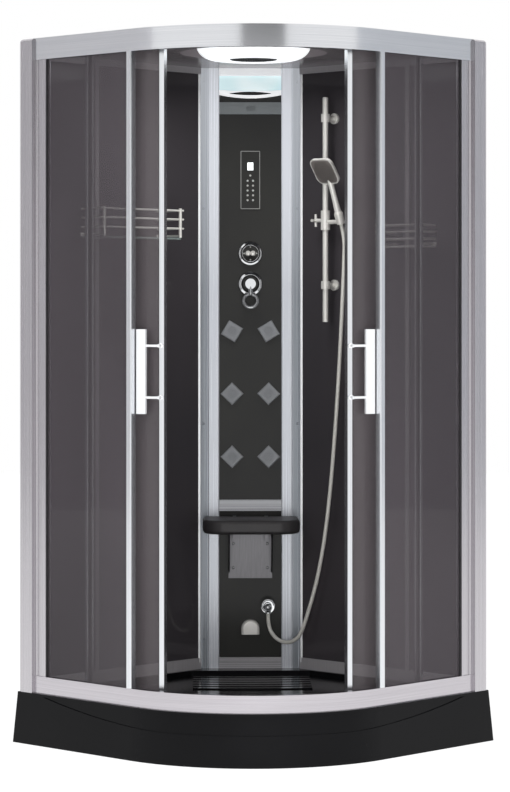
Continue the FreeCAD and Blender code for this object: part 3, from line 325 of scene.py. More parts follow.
def make_finishes(settings):
    """Builds every finish once, under the name of its real material."""
    # Bright metal, which shows the room as soft bands.
    FINISHES.update({
        "rail": extruded_aluminium("Bright_anodised_rail", "#e4e5e8", "#d6d8dc", AROUND, (0.14, 0.2)),
        # Painted reflection: the threshold rail is the same anodising as the top rail; its greyer lilac tone
        # stands in for what it mirrors.
        "low_rail": extruded_aluminium("Anodised_threshold_rail_painted_reflection", "#cdc9ce", "#bdb9be", AROUND, (0.16, 0.24)),
        "upright": extruded_aluminium("Bright_anodised_upright", "#eceef1", "#dcdfe3", UPRIGHT, (0.18, 0.26)),
        # Painted reflection: the wall posts are the same bright anodising as the uprights; their greyer lilac
        # tone stands in for what they mirror.
        "post": extruded_aluminium("Bright_anodised_wall_post_painted_reflection", "#cecbcf", "#bebbbf", UPRIGHT, (0.22, 0.32)),
        "edge": extruded_aluminium("Bright_column_edge", "#fbfcfd", "#f1f3f5", UPRIGHT, (0.2, 0.3), 0.2),
        "trim": extruded_aluminium("Satin_anodised_trim", "#b3b0b3", "#a19ea1", UPRIGHT, (0.3, 0.45), 0.35),
        "column": column_aluminium("Anodised_column_extrusion_painted_glow"),
        "column_bar": column_bar_aluminium("Anodised_column_bar_painted_light"),
        "chrome": chrome_plate("Polished_chrome"),
        "satin": satin_chrome("Satin_chrome_plate"),
        "handle": satin_chrome("Satin_aluminium_handle", "#f2f3f5"),
        "steel": brushed_steel("Brushed_stainless_sheet"),
        "bracket": brushed_steel("Brushed_bracket_sheet", "#8f8e91", "#79787b"),
        "galvanised": brushed_steel("Galvanised_tube", "#9a9c9e", "#7c7e80"),
    })
    # Glass and acrylic, which darken what is behind them and carry a clean gloss.
    FINISHES.update({
        "door_glass": smoked_glass("Smoked_door_glass", "#645e61", "#70696c", settings.door_veil),
        "fixed_glass": smoked_glass("Smoked_fixed_glass", "#554f54", "#5f585e", settings.fixed_veil),
        "wall_glass": painted_glass("Charcoal_painted_wall_glass"),
        "shelf_glass": clear_glass("Clear_shelf_glass"),
        "black_acrylic": cast_acrylic("Black_sanitary_acrylic", "#0b0b0d", "#101012", (0.1, 0.22), 0.12),
        "fascia": cast_acrylic("Black_fascia_acrylic", "#232323", "#2b2b29", (0.12, 0.25), 0.25),
        "ceiling": cast_acrylic("Dark_ceiling_acrylic", "#7a7477", "#878184", (0.15, 0.3), 0.3),
    })
    # Moulded parts, which stay matt with a fine grain.
    FINISHES.update({
        "grey_abs": moulded_plastic("Grey_moulded_ABS", "#57595b", "#646668"),
        "spray_abs": moulded_plastic("Warm_grey_spray_face_ABS", "#5b5654", "#6a6562", 0.8),
        "jet_abs": moulded_plastic("Grey_jet_ABS", "#7b7d80", "#898b8e", 0.8),
        "vent_abs": moulded_plastic("Grey_vent_bar_ABS", "#6f7476", "#7c8183"),
        "seat_abs": moulded_plastic("Black_grained_seat_ABS", "#282627", "#353334", 2.0, (0.32, 0.5), 0.3),
        "print": moulded_plastic("Light_grey_key_print", "#a9a9a6", "#bdbdb9", 0.5),
        "outline": moulded_plastic("Grey_panel_edge", "#858583", "#959593", 0.5),
        "nylon": moulded_plastic("White_nylon_wheel", "#d8d8d4", "#e6e6e2", 1.0),
        "polypropylene": moulded_plastic("White_polypropylene", "#cfd0ce", "#dcddda", 1.5),
        "rubber": moulded_plastic("Black_rubber_foot", "#0f0f10", "#1a1a1b", 1.5, (0.6, 0.8)),
        "silicone": moulded_plastic("Black_silicone_bead", "#151516", "#222223", 0.6, (0.3, 0.45)),
        "hose": ribbed_hose("Spiral_PVC_hose"),
    })
    # Lit parts, which glow evenly; the visor is no lamp, so its glow is painted light.
    lamp_glow = settings.lamp_glow
    FINISHES.update({
        "column_lamp": lit_diffuser("Pale_blue_lit_diffuser", settings.lamp_colour, lamp_glow, "#9fb9bd"),
        "ceiling_lamp": lit_diffuser("White_lit_opal", "#f2f6f8", 0.85),
        # Painted glow: the white visor is lit by the column's lamp and is not a lamp itself.
        "visor": lit_diffuser("White_visor_painted_glow", "#eef0f2", 0.5, "#e8eaec"),
        "display": lit_diffuser("White_lit_display", "#f4f6f7", 0.95),
    })


NODE_FINISH = {
    "black_acrylic": ["tray"],
    "galvanised": ["tray_frame"],
    "rubber": ["tray_feet"],
    "polypropylene": ["drain_trap"],
    "rail": ["top_rail"],
    "low_rail": ["bottom_rail"],
    "column": ["column_profiles"],
    "column_bar": ["column_bars"],
    "visor": ["column_visor"],
    "vent_abs": ["vent_bar"],
    "post": ["left_wall_post", "right_wall_post", "jambs"],
    "upright": ["fixed_stiles", "left_door_stiles", "right_door_stiles"],
    "trim": ["wall_trims"],
    "fixed_glass": ["fixed_glass"],
    "door_glass": ["left_door_glass", "right_door_glass"],
    "wall_glass": ["wall_glass"],
    "shelf_glass": ["shelf_glass"],
    "ceiling": ["roof"],
    "ceiling_lamp": ["ceiling_lamp"],
    "column_lamp": ["column_lamp"],
    "fascia": ["column_panel", "control_panel", "diverter_knob", "mixer_hub"],
    "grey_abs": ["rain_head", "jet_bases"],
    "jet_abs": [f"jet_{side}_{row}" for side in ("left", "right") for row in (1, 2, 3)],
    "seat_abs": ["seat"],
    "bracket": ["seat_bracket"],
    "steel": ["steam_generator", "left_door_hangers", "right_door_hangers"],
    "nylon": [f"{side}_roller_{end}" for side in ("left", "right") for end in ("front", "rear")],
    "chrome": ["drain_cover", "valve_plates", "mixer_lever", "hose_elbow"],
    "satin": [
        "handset", "riser_rail", "riser_brackets", "slider", "handset_holder", "shelf_rails", "steam_outlet",
    ],
    "handle": ["left_door_handle", "right_door_handle"],
}


def finish_nodes():
    """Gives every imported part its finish, apart from the hose, which this script makes anew."""
    left = set(NODES) - {"shower_hose"}
    for finish, names in NODE_FINISH.items():
        for name in names:
            item = NODES[name]
            item.data.materials.clear()
            item.data.materials.append(FINISHES[finish])
            left.discard(name)
    if left:
        raise RuntimeError(f"parts without a finish: {sorted(left)}")


# ---------------------------------------------------------------- surfaces

# Points nearer to each other than this, in metres, become one point.
WELD = 1e-6


def surface(name, points, finish, body, closed=False):
    """A grid of points, shape (rows, columns, 3), becomes a mesh of quads; closed joins its last column
    to its first."""
    rows, columns = points.shape[:2]
    grid = np.arange(rows * columns).reshape(rows, columns)
    if closed:
        grid = np.concatenate([grid, grid[:, :1]], axis=1)
    quads = np.stack([grid[:-1, :-1], grid[:-1, 1:], grid[1:, 1:], grid[1:, :-1]], axis=-1).reshape(-1, 4)
    return mesh_piece(name, points.reshape(-1, 3), quads, finish, body)


def mesh_piece(name, points, faces, finish, body, smooth=True):
    """Makes a mesh object from points and faces, its poles closed and its faces outwards, and lets it
    ride on a body."""
    mesh = bpy.data.meshes.new(name)
    mesh.from_pydata(np.asarray(points, float).tolist(), [], [list(map(int, f)) for f in faces])
    work = bmesh.new()
    work.from_mesh(mesh)
    bmesh.ops.remove_doubles(work, verts=work.verts, dist=WELD)
    bmesh.ops.recalc_face_normals(work, faces=work.faces)
    work.to_mesh(mesh)
    work.free()
    mesh.polygons.foreach_set("use_smooth", np.full(len(mesh.polygons), smooth))
    mesh.materials.append(FINISHES[finish])
    item = bpy.data.objects.new(name, mesh)
    bpy.context.scene.collection.objects.link(item)
    if body:
        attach(item, body)
    return item


def circle(count):
    """The cosines and the sines of equal turns round a circle."""
    turn = np.linspace(0, 2 * np.pi, count, endpoint=False)
    return np.stack([np.cos(turn), np.sin(turn)])


# ---------------------------------------------------------------- places

# The cabin's front face, the radius r of its front arc, and the corner, r (1 + sqrt 2) behind the front
# face, all in metres.
FRONT_Y = -0.579412
ARC = 0.5
CORNER_Y = FRONT_Y + 1.2071068

# The column's front stands 172 mm before the corner, and its fascia lies 8 mm behind that front.
COLUMN_Y = CORNER_Y - 0.172
FASCIA_Y = COLUMN_Y + 0.008

# Rows of a basis: across, up and towards the viewer, and the cabin's own axes.
FACING = np.array([(1.0, 0.0, 0.0), (0.0, 0.0, 1.0), (0.0, -1.0, 0.0)])
LEVEL = np.eye(3)
SIDES = (("left", -1), ("right", 1))

# The closed door turns by this many degrees about its pole to its place at rest.
DOOR_POLE = (0.1247, FRONT_Y + 0.7352)
DOOR_OPEN = -23.74


def corner(x, y, z):
    """A point given along the left wall, along the right wall and up, as a point of the cabin."""
    return np.array([(y - x) / math.sqrt(2), CORNER_Y - (x + y) / math.sqrt(2), z])


# One metre along each wall, away from the corner.
LEFT_WALL = corner(1, 0, 0) - corner(0, 0, 0)
RIGHT_WALL = corner(0, 1, 0) - corner(0, 0, 0)


def turned_about(points, pole, degrees):
    """Points turned about an upright axis: x' = c x - s y, y' = s x + c y, measured from the pole."""
    c = math.cos(math.radians(degrees))
    s = math.sin(math.radians(degrees))
    middle = np.array([*pole, 0.0])
    x, y, z = np.moveaxis(points - middle, -1, 0)
    return np.stack([c * x - s * y, s * x + c * y, z], -1) + middle


def on_door(radius, degrees, height, side):
    """Points of a door at rest, from the closed door's radius, angle and height; side is -1 left, 1 right."""
    turn = np.radians(degrees)
    closed = np.stack(np.broadcast_arrays(
        -radius * np.sin(turn), FRONT_Y + ARC - radius * np.cos(turn), height
    ), -1)
    opened = turned_about(closed, DOOR_POLE, DOOR_OPEN)
    opened[..., 0] *= -side
    return opened


# ---------------------------------------------------------------- hose

# The hose's route, in metres: sideways, back from the front face, height. It hangs from the hand shower's
# foot, swings past the column and rises into the elbow.
HOSE_ROUTE = np.array([
    (0.28368, 0.83883, 1.59953), (0.2974, 0.8525, 1.548), (0.296, 0.851, 1.488), (0.2915, 0.848, 1.38),
    (0.2842, 0.846, 1.225), (0.2755, 0.8477, 1.06), (0.2645, 0.8557, 0.895), (0.2515, 0.8652, 0.735),
    (0.2345, 0.8776, 0.585), (0.212, 0.894, 0.455), (0.1826, 0.9154, 0.345), (0.1597, 0.9321, 0.2738),
    (0.1345, 0.9505, 0.2494), (0.1027, 0.9737, 0.2453), (0.074, 0.9946, 0.2626), (0.057, 1.0071, 0.2962),
    (0.057, 1.0071, 0.336),
]) + np.array([0.0, FRONT_Y, 0.0])
HOSE_STEPS = 12
HOSE_SIDES = 16

# The hose's map counts one for every 6 mm of its length.
HOSE_BAND = 0.006


def route_line(points):
    """Points of the smooth NURBS curve whose control points are the route's points."""
    curve = bpy.data.curves.new("route", "CURVE")
    curve.dimensions = "3D"
    spline = curve.splines.new("NURBS")
    spline.points.add(len(points) - 1)
    spline.points.foreach_set("co", np.column_stack([points, np.ones(len(points))]).ravel())
    spline.order_u = 3
    spline.use_endpoint_u = True
    spline.resolution_u = HOSE_STEPS
    item = bpy.data.objects.new("route", curve)
    bpy.context.scene.collection.objects.link(item)
    bpy.context.view_layer.update()
    mesh = bpy.data.meshes.new_from_object(item)
    line = np.zeros(len(mesh.vertices) * 3)
    mesh.vertices.foreach_get("co", line)
    bpy.data.objects.remove(item)
    bpy.data.meshes.remove(mesh)
    bpy.data.curves.remove(curve)
    return line.reshape(-1, 3)


def carried_frames(line):
    """Two normals at each point of a line that starts nearly upright, carried along without twist."""
    tangent = np.gradient(line, axis=0)
    tangent /= np.linalg.norm(tangent, axis=1, keepdims=True)
    side = np.zeros_like(line)
    side[0] = np.cross(tangent[0], (0, 1, 0))
    side[0] /= np.linalg.norm(side[0])
    for i in range(1, len(line)):
        flat = side[i - 1] - tangent[i] * np.dot(side[i - 1], tangent[i])
        side[i] = flat / np.linalg.norm(flat)
    return side, np.cross(tangent, side)


def tube(line, radius):
    """Rings of a tube: centre + radius (cos a · side + sin a · up) at every point of the line."""
    side, up = carried_frames(line)
    cosine, sine = circle(HOSE_SIDES)[:, None, :, None]
    return line[:, None] + radius * (cosine * side[:, None] + sine * up[:, None])


def spiral_map(mesh, run):
    """Maps a tube's mesh: across it one turn, whose seam is carried past one, and along it its length
    in bands."""
    corners = np.zeros(len(mesh.loops), int)
    mesh.loops.foreach_get("vertex_index", corners)
    turn = (corners % HOSE_SIDES / HOSE_SIDES).reshape(-1, 4)
    seam = (turn.max(1) - turn.min(1)) > 0.5
    turn[seam] = np.where(turn[seam] < 0.5, turn[seam] + 1.0, turn[seam])
    length = run[corners // HOSE_SIDES] / HOSE_BAND
    layer = mesh.uv_layers.new(name="along")
    layer.data.foreach_set("uv", np.column_stack([turn.ravel(), length]).ravel())


# ---------------------------------------------------------------- small solids

# Corners of a unit box, its faces, and the faces of a prism that is given as two rings of four points.
BOX_CORNERS = np.array([(x, y, z) for z in (-0.5, 0.5) for y in (-0.5, 0.5) for x in (-0.5, 0.5)])
BOX_FACES = np.array([(0, 2, 3, 1), (4, 5, 7, 6), (0, 1, 5, 4), (2, 6, 7, 3), (0, 4, 6, 2), (1, 3, 7, 5)])
PRISM_FACES = [(0, 1, 5, 4), (1, 2, 6, 5), (2, 3, 7, 6), (3, 0, 4, 7), (0, 3, 2, 1), (4, 5, 6, 7)]

# Radius and height pairs of small turned pieces, in metres.
NOZZLE = [(0.0016, -0.0004), (0.0016, 0.0006), (0.0011, 0.0013), (0.0, 0.0014)]
SCREW = [(0.0045, 0.0), (0.0042, 0.0009), (0.0028, 0.0017), (0.0, 0.002)]
KEY = [(0.0034, -0.0003), (0.0034, 0.0004), (0.0026, 0.0008), (0.0, 0.0008)]
DRAIN_HOLE = [(0.0032, 0.0), (0.0032, 0.0006), (0.0, 0.0006)]
JET_RING = [(0.0152, 0.0), (0.0152, 0.0014), (0.0143, 0.0018), (0.0134, 0.0014), (0.0134, 0.0)]
GRIP_LOBE = [(0.0088, -0.001), (0.0092, 0.006), (0.0084, 0.0135), (0.005, 0.0155), (0.0, 0.016)]
GRIP_RIM = [(0.0275, 0.0), (0.0282, 0.0012), (0.0275, 0.0024), (0.0262, 0.0024), (0.0255, 0.0012)]
GRIP_MARK = [(0.0026, -0.0003), (0.0026, 0.0006), (0.0, 0.0009)]


def studs(name, places, basis, profile, finish, body, around=12):
    """Equal turned studs at several places: the profile's radius and height pairs, turned about the
    basis' third row."""
    places = np.asarray(places, float)
    radius, height = np.asarray(profile, float).T[:, :, None]
    cosine, sine = circle(around)
    ring = np.stack(np.broadcast_arrays(radius * cosine, radius * sine, height), -1)
    points = places[:, None, None] + ring @ basis
    step = np.arange(around)
    after = (step + 1) % around
    row = np.arange(len(profile) - 1)[:, None] * around
    quads = np.stack([row + step, row + after, row + around + after, row + around + step], -1).reshape(-1, 4)
    first = np.arange(len(places)) * len(profile) * around
    quads = (quads[None] + first[:, None, None]).reshape(-1, 4)
    return mesh_piece(name, points.reshape(-1, 3), quads, finish, body)


def bars(name, centres, sizes, basis, finish, body):
    """Straight bars, each a centre and a size along the rows of the basis."""
    centres = np.asarray(centres, float)
    sizes = np.asarray(sizes, float)
    points = centres[:, None] + (BOX_CORNERS[None] * sizes[:, None]) @ basis
    first = np.arange(len(centres)) * len(BOX_CORNERS)
    faces = (BOX_FACES[None] + first[:, None, None]).reshape(-1, 4)
    return mesh_piece(name, points.reshape(-1, 3), faces, finish, body, smooth=False)


def honeycomb(rings, pitch):
    """Hexagonal pattern of points about the middle, out to the given number of rings."""
    a, b = np.meshgrid(np.arange(-rings, rings + 1), np.arange(-rings, rings + 1))
    keep = np.abs(a + b) <= rings
    a, b = a[keep], b[keep]
    return np.stack([pitch * (a + b / 2), pitch * b * math.sqrt(3) / 2], -1)


# ---------------------------------------------------------------- settings and steps


class CabinSettings(bpy.types.PropertyGroup):
    """Sizes and colours that a user would change."""

    hose_diameter: FloatProperty(
        name="Hose diameter", description="Outer diameter of the hand shower's hose",
        default=0.0125, min=0.008, max=0.02, unit="LENGTH",
    )
    door_veil: FloatProperty(
        name="Door glass veil", description="How much the sliding doors' smoked glass hides",
        default=0.34, min=0.0, max=1.0, subtype="FACTOR",
    )
    fixed_veil: FloatProperty(
        name="Fixed glass veil", description="How much the fixed panes' smoked glass hides",
        default=0.36, min=0.0, max=1.0, subtype="FACTOR",
    )
    lamp_colour: FloatVectorProperty(
        name="Column lamp colour", description="Colour of the light in the column's top",
        default=hex_linear("#a9cfd4"), size=4, min=0.0, max=1.0, subtype="COLOR",
    )
    lamp_glow: FloatProperty(
        name="Column lamp glow", description="Strength of the light in the column's top",
        default=0.62, min=0.0, max=5.0,
    )


class CABIN_OT_finishes(bpy.types.Operator):
    """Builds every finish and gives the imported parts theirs"""

    bl_idname = "cabin.finishes"
    bl_label = "Finishes"

    def execute(self, context):
        make_finishes(context.scene.cabin)
        finish_nodes()
        return {"FINISHED"}


class CABIN_OT_hose(bpy.types.Operator):
    """Makes the hand shower's hose along its route"""

    bl_idname = "cabin.hose"
    bl_label = "Hose"

    def execute(self, context):
        line = route_line(HOSE_ROUTE)
        run = np.concatenate([[0], np.cumsum(np.linalg.norm(np.diff(line, axis=0), axis=1))])
        radius = context.scene.cabin.hose_diameter / 2
        hose = surface("Hand_shower_hose", tube(line, radius), "hose", None, closed=True)
        spiral_map(hose.data, run)
        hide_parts("shower_hose")
        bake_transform(hose)
        return {"FINISHED"}


# The control panel: its edge's half width, lower and upper line, the line's width and thickness, and how
# far its face stands before the fascia.
PANEL_HALF = 0.0305
PANEL_LOW = 1.6486
PANEL_HIGH = 1.8354
PANEL_LINE = 0.0022
PANEL_THICK = 0.0008
PANEL_RISE = 0.0062
DISPLAY_HEIGHT = 1.786
DISPLAY_SIZE = (0.019, 0.025, 0.0009)

# One key stands alone above five rows of two.
TOP_KEY_HEIGHT = 1.7565
KEY_HEIGHT = 1.7395
KEY_PITCH = 0.0158
KEY_OFFSET = 0.0088
KEY_ROWS = 5


class CABIN_OT_panel_marks(bpy.types.Operator):
    """Adds the control panel's edge, its lit display and its eleven keys"""

    bl_idname = "cabin.panel_marks"
    bl_label = "Control panel"

    def execute(self, context):
        face = FASCIA_Y - PANEL_RISE
        middle = (PANEL_LOW + PANEL_HIGH) / 2
        centres = [
            (-PANEL_HALF, face, middle), (PANEL_HALF, face, middle),
            (0, face, PANEL_LOW), (0, face, PANEL_HIGH),
        ]
        upright = (PANEL_LINE, PANEL_HIGH - PANEL_LOW, PANEL_THICK)
        level = (2 * PANEL_HALF, PANEL_LINE, PANEL_THICK)
        sizes = [upright, upright, level, level]
        bars("Panel_edge", centres, sizes, FACING, "outline", "cabin")
        bars("Panel_display", [(0, face, DISPLAY_HEIGHT)], [DISPLAY_SIZE], FACING, "display", "cabin")
        heights = [KEY_HEIGHT - KEY_PITCH * row for row in range(KEY_ROWS)]
        keys = [(0.0, face, TOP_KEY_HEIGHT)]
        keys += [(x, face, height) for height in heights for x in (-KEY_OFFSET, KEY_OFFSET)]
        studs("Panel_keys", keys, FACING, KEY, "print", "cabin")
        return {"FINISHED"}


# The column's edge strips: distance from its middle, how far they stand before its front, height of their
# middle, and size.
EDGE_OFFSET = 0.1658
EDGE_RISE = 0.0145
EDGE_HEIGHT = 1.13
EDGE_SIZE = (0.0066, 0.008, 1.908)

# The visor's lens, a dark sheet of painted shade for the gap behind the visor: half width, half height,
# height, how far its rim lies behind the column's front, and how far its middle rises from the rim.
LENS_HALF = 0.0745
LENS_HALF_TALL = 0.0064
LENS_HEIGHT = 2.0232
LENS_SET = 0.0012
LENS_RISE = 0.0014


class CABIN_OT_column_trims(bpy.types.Operator):
    """Adds the column's bright edge strips on the walls and the dark lens on its visor, painted shade of the
    gap behind it
    """

    bl_idname = "cabin.column_trims"
    bl_label = "Column trims"

    def execute(self, context):
        # Square strips that close the gap between the column and the glass walls, from trim to trim.
        for side, sign in SIDES:
            centre = (sign * EDGE_OFFSET, COLUMN_Y - EDGE_RISE, EDGE_HEIGHT)
            bars(f"Column_edge_{side}", [centre], [EDGE_SIZE], LEVEL, "edge", "cabin")
        # The lens narrows as w = 1 - u^2 towards its ends, and it rises as w (1 - v^2).
        u, v = np.meshgrid(np.linspace(-1, 1, 25), np.linspace(-1, 1, 9), indexing="ij")
        width = 1 - u ** 2
        depth = COLUMN_Y + LENS_SET - LENS_RISE * width * (1 - v ** 2)
        lens = np.stack([LENS_HALF * u, depth, LENS_HEIGHT + LENS_HALF_TALL * v * width], -1)
        # Painted shade: a dark lens-shaped sheet stands for the gap behind the visor.
        surface("Visor_painted_shade_lens", lens, "fascia", "cabin")
        return {"FINISHED"}


# The diverter: its height and its plate's face, and how far its knob's face and its rim stand before that.
# Its grip has two lobes, and four marks stand around them.
DIVERTER_HEIGHT = 1.503
DIVERTER_Y = COLUMN_Y + 0.0007
KNOB_RISE = 0.0146
RIM_RISE = 0.0192
LOBE_OFFSET = 0.0075
MARK_RADIUS = 0.0205


class CABIN_OT_valve_marks(bpy.types.Operator):
    """Adds the diverter's chrome grip, its marks and its rim"""

    bl_idname = "cabin.valve_marks"
    bl_label = "Valve trims"

    def execute(self, context):
        face = DIVERTER_Y - KNOB_RISE
        height = DIVERTER_HEIGHT
        lobes = [(-LOBE_OFFSET, face, height), (LOBE_OFFSET, face, height)]
        studs("Diverter_grip", lobes, FACING, GRIP_LOBE, "satin", "diverter", 24)
        turns = np.radians([90.0, 180.0, 270.0, 0.0])
        across = MARK_RADIUS * np.cos(turns)
        up = MARK_RADIUS * np.sin(turns)
        spots = np.stack([across, np.full(len(turns), face), height + up], -1)
        studs("Diverter_marks", spots, FACING, GRIP_MARK, "print", "diverter")
        rim = [(0, DIVERTER_Y - RIM_RISE, height)]
        studs("Diverter_rim", rim, FACING, GRIP_RIM, "chrome", "diverter", 40)
        return {"FINISHED"}


# The body jets: distance from the column's middle, heights from the top row down, how far their faces stand
# before the fascia, and their nozzles' pitch.
JET_OFFSET = 0.0595
JET_HEIGHTS = ((1, 1.25), (2, 1.047), (3, 0.842))
JET_RISE = 0.0113
JET_PITCH = 0.0052


def jet_nozzles():
    """A rose of nozzles and a ring on the face of every body jet."""
    rose = honeycomb(2, JET_PITCH)
    rose = np.stack([rose[:, 0], np.zeros(len(rose)), rose[:, 1]], -1)
    for side, sign in SIDES:
        for row, height in JET_HEIGHTS:
            centre = np.array([sign * JET_OFFSET, FASCIA_Y - JET_RISE, height])
            jet = f"{side}_jet_{row}"
            studs(f"Jet_rose_{side}_{row}", centre + rose, FACING, NOZZLE, "jet_abs", jet, 8)
            studs(f"Jet_ring_{side}_{row}", [centre], FACING, JET_RING, "jet_abs", jet, 32)


# The hand shower: its holder's pivot, the handle's lean from upright, the spray face's tilt from level, and
# the face's place along the handle and out from it.
HANDSET_PIVOT = corner(0.06, 0.461, 1.6)
HANDSET_LEAN = math.radians(20.8)
HANDSET_TILT = math.radians(35.0)
FACE_ALONG = 0.178
FACE_OUT = 0.017

# The face plate: half width, power of its rounded square, number of points, and the plate's rings as pairs
# of size and rise. The nozzles stand on it in a square field.
FACE_HALF = 0.042
FACE_POWER = 5
FACE_POINTS = 48
FACE_RISE = 0.0006
FACE_RINGS = ((1.0, -0.0004), (1.0, 0.0004), (0.975, FACE_RISE), (0.5, FACE_RISE), (0.0, FACE_RISE))
SPRAY_PITCH = 0.0078
SPRAY_HALF = 0.037


def handset_nozzles():
    """The hand shower's face plate and its nozzles. The plate's outline is a rounded square,
    r(t) = h (|cos t|^5 + |sin t|^5)^(-1/5)."""
    along = LEFT_WALL * math.sin(HANDSET_LEAN) + np.array([0, 0, math.cos(HANDSET_LEAN)])
    outward = LEFT_WALL * math.cos(HANDSET_TILT) - np.array([0, 0, math.sin(HANDSET_TILT)])
    face = HANDSET_PIVOT + along * FACE_ALONG + outward * FACE_OUT
    down = np.cross(outward, RIGHT_WALL)
    basis = np.stack([RIGHT_WALL, down, outward])
    cosine, sine = circle(FACE_POINTS)
    reach = FACE_HALF * (np.abs(cosine) ** FACE_POWER + np.abs(sine) ** FACE_POWER) ** (-1 / FACE_POWER)
    outline = np.stack([reach * cosine, reach * sine], -1)
    plate = np.stack([
        np.column_stack([outline * size, np.full(FACE_POINTS, rise)]) for size, rise in FACE_RINGS
    ])
    surface("Handset_face", face + plate @ basis, "spray_abs", "hand_shower", closed=True)
    rose = honeycomb(5, SPRAY_PITCH)
    rose = rose[np.abs(rose).max(1) < SPRAY_HALF]
    spots = face + rose[:, :1] * RIGHT_WALL + rose[:, 1:] * down + outward * FACE_RISE
    studs("Handset_nozzles", spots, basis, NOZZLE, "rubber", "hand_shower", 8)


# The rain head's underside, the radius of its field of nozzles and their pitch. The basis looks down.
RAIN_HEIGHT = 2.084
RAIN_RADIUS = 0.064
RAIN_PITCH = 0.0105
DOWNWARD = np.array([(1.0, 0.0, 0.0), (0.0, -1.0, 0.0), (0.0, 0.0, -1.0)])


def rain_nozzles():
    """The round field of nozzles under the rain head."""
    rose = honeycomb(6, RAIN_PITCH)
    rose = rose[np.linalg.norm(rose, axis=1) < RAIN_RADIUS]
    spots = np.column_stack([rose[:, 0], FRONT_Y + ARC + rose[:, 1], np.full(len(rose), RAIN_HEIGHT)])
    studs("Rain_head_nozzles", spots, DOWNWARD, NOZZLE, "rubber", "cabin", 8)


class CABIN_OT_nozzles(bpy.types.Operator):
    """Adds the spray nozzles of the jets, the hand shower and the rain head"""

    bl_idname = "cabin.nozzles"
    bl_label = "Spray nozzles"

    def execute(self, context):
        jet_nozzles()
        handset_nozzles()
        rain_nozzles()
        return {"FINISHED"}


# The closed door's edges as angles from the cabin's middle, and its beads: width in degrees, inner and
# outer radius, and lower and upper end.
DOOR_LEAD = 1.988
DOOR_TRAIL = 42.47
BEAD_WIDE = 0.4
BEAD_INNER = 0.4425
BEAD_OUTER = 0.4555
BEAD_ENDS = np.array([0.187, 2.09])

# The fixed panes' beads: distance from the wall opposite, places along the pane, height of their middle,
# and size.
PANE_DEPTH = 0.9885
PANE_PLACES = (0.1065, 0.4605)
PANE_HEIGHT = 1.143
PANE_BEAD = (0.009, 0.003, 1.87)


class CABIN_OT_seals(bpy.types.Operator):
    """Adds the black glazing beads of the doors and of the fixed panes"""

    bl_idname = "cabin.seals"
    bl_label = "Glazing seals"

    def execute(self, context):
        radii = np.array([BEAD_OUTER, BEAD_OUTER, BEAD_INNER, BEAD_INNER])
        widths = np.array([0.0, BEAD_WIDE, BEAD_WIDE, 0.0])
        for side, sign in SIDES:
            for name, first in (("lead", DOOR_LEAD), ("trail", DOOR_TRAIL - BEAD_WIDE)):
                points = on_door(radii, first + widths, BEAD_ENDS[:, None], sign).reshape(-1, 3)
                bead = f"Door_bead_{side}_{name}"
                mesh_piece(bead, points, PRISM_FACES, "silicone", f"{side}_door", smooth=False)
        # The left pane's beads are placed from the walls, and the right pane's mirror them.
        for side, sign in SIDES:
            mirror = (-sign, 1, 1)
            rows = np.stack([LEFT_WALL * mirror, RIGHT_WALL * mirror, (0, 0, 1)])
            centres = np.array([corner(PANE_DEPTH, y, PANE_HEIGHT) for y in PANE_PLACES]) * mirror
            bars(f"Pane_bead_{side}", centres, [PANE_BEAD] * 2, rows, "silicone", "cabin")
        return {"FINISHED"}


# Screws: offsets from the column's middle and heights, for the seat's bracket and for the column.
BRACKET_OFFSET = 0.055
BRACKET_HEIGHTS = (0.482, 0.56)
COLUMN_OFFSET = 0.153
COLUMN_HEIGHTS = (0.25, 0.95, 1.65, 2.06)

# The drain cover's middle, and its ring of holes.
DRAIN_PLACE = corner(0.58, 0.58, 0.1432)
DRAIN_RING = 0.029
DRAIN_HOLES = 12
DRAIN_RISE = 0.0009


class CABIN_OT_screws(bpy.types.Operator):
    """Adds the pan-head screws of the seat's bracket and of the column, and the drain cover's holes"""

    bl_idname = "cabin.screws"
    bl_label = "Screws and holes"

    def execute(self, context):
        spots = [(x, COLUMN_Y - 0.003, z) for x in (-BRACKET_OFFSET, BRACKET_OFFSET) for z in BRACKET_HEIGHTS]
        studs("Bracket_screws", spots, FACING, SCREW, "chrome", "cabin", 16)
        spots = [(x, COLUMN_Y + 0.001, z) for x in (-COLUMN_OFFSET, COLUMN_OFFSET) for z in COLUMN_HEIGHTS]
        # The column's top screws take its finish's painted glow.
        studs("Column_screws", spots, FACING, SCREW, "column", "cabin", 16)
        cosine, sine = circle(DRAIN_HOLES)
        ring = np.stack([DRAIN_RING * cosine, DRAIN_RING * sine, np.full(DRAIN_HOLES, DRAIN_RISE)], -1)
        studs("Drain_holes", DRAIN_PLACE + ring, LEVEL, DRAIN_HOLE, "rubber", "cabin", 12)
        return {"FINISHED"}


# ---------------------------------------------------------------- stage

# Half the floor sheet's side, in metres, how much of it glows where it is seen, and how strongly.
FLOOR_HALF = 14.0
FLOOR_SHARE = 0.78
FLOOR_GLOW = 1.2

# Corners of a sheet of half size one, and its one face.
SHEET = ((-1, -1), (1, -1), (1, 1), (-1, 1))
SHEET_FACE = [(0, 1, 2, 3)]

# Softboxes: name, place, target, width and height in metres, and power in watts.
SOFTBOXES = (
    ("Key_softbox", (-2.6, -4.2, 3.4), (0, 0, 1.1), (2.4, 2.4), 80.0),
    ("Fill_softbox", (3.2, -3.8, 2.2), (0, 0, 1.0), (2.0, 2.6), 50.0),
    ("Top_softbox", (0, -0.6, 4.4), (0, 0, 0), (2.6, 2.6), 50.0),
    ("Cabin_lamp", (0, -0.08, 2.03), (0, -0.08, 0), (0.3, 0.3), 4.5),
    ("Low_softbox", (0, -3.2, 0.7), (0, 0.4, 0.7), (1.4, 1.0), 38.0),
)

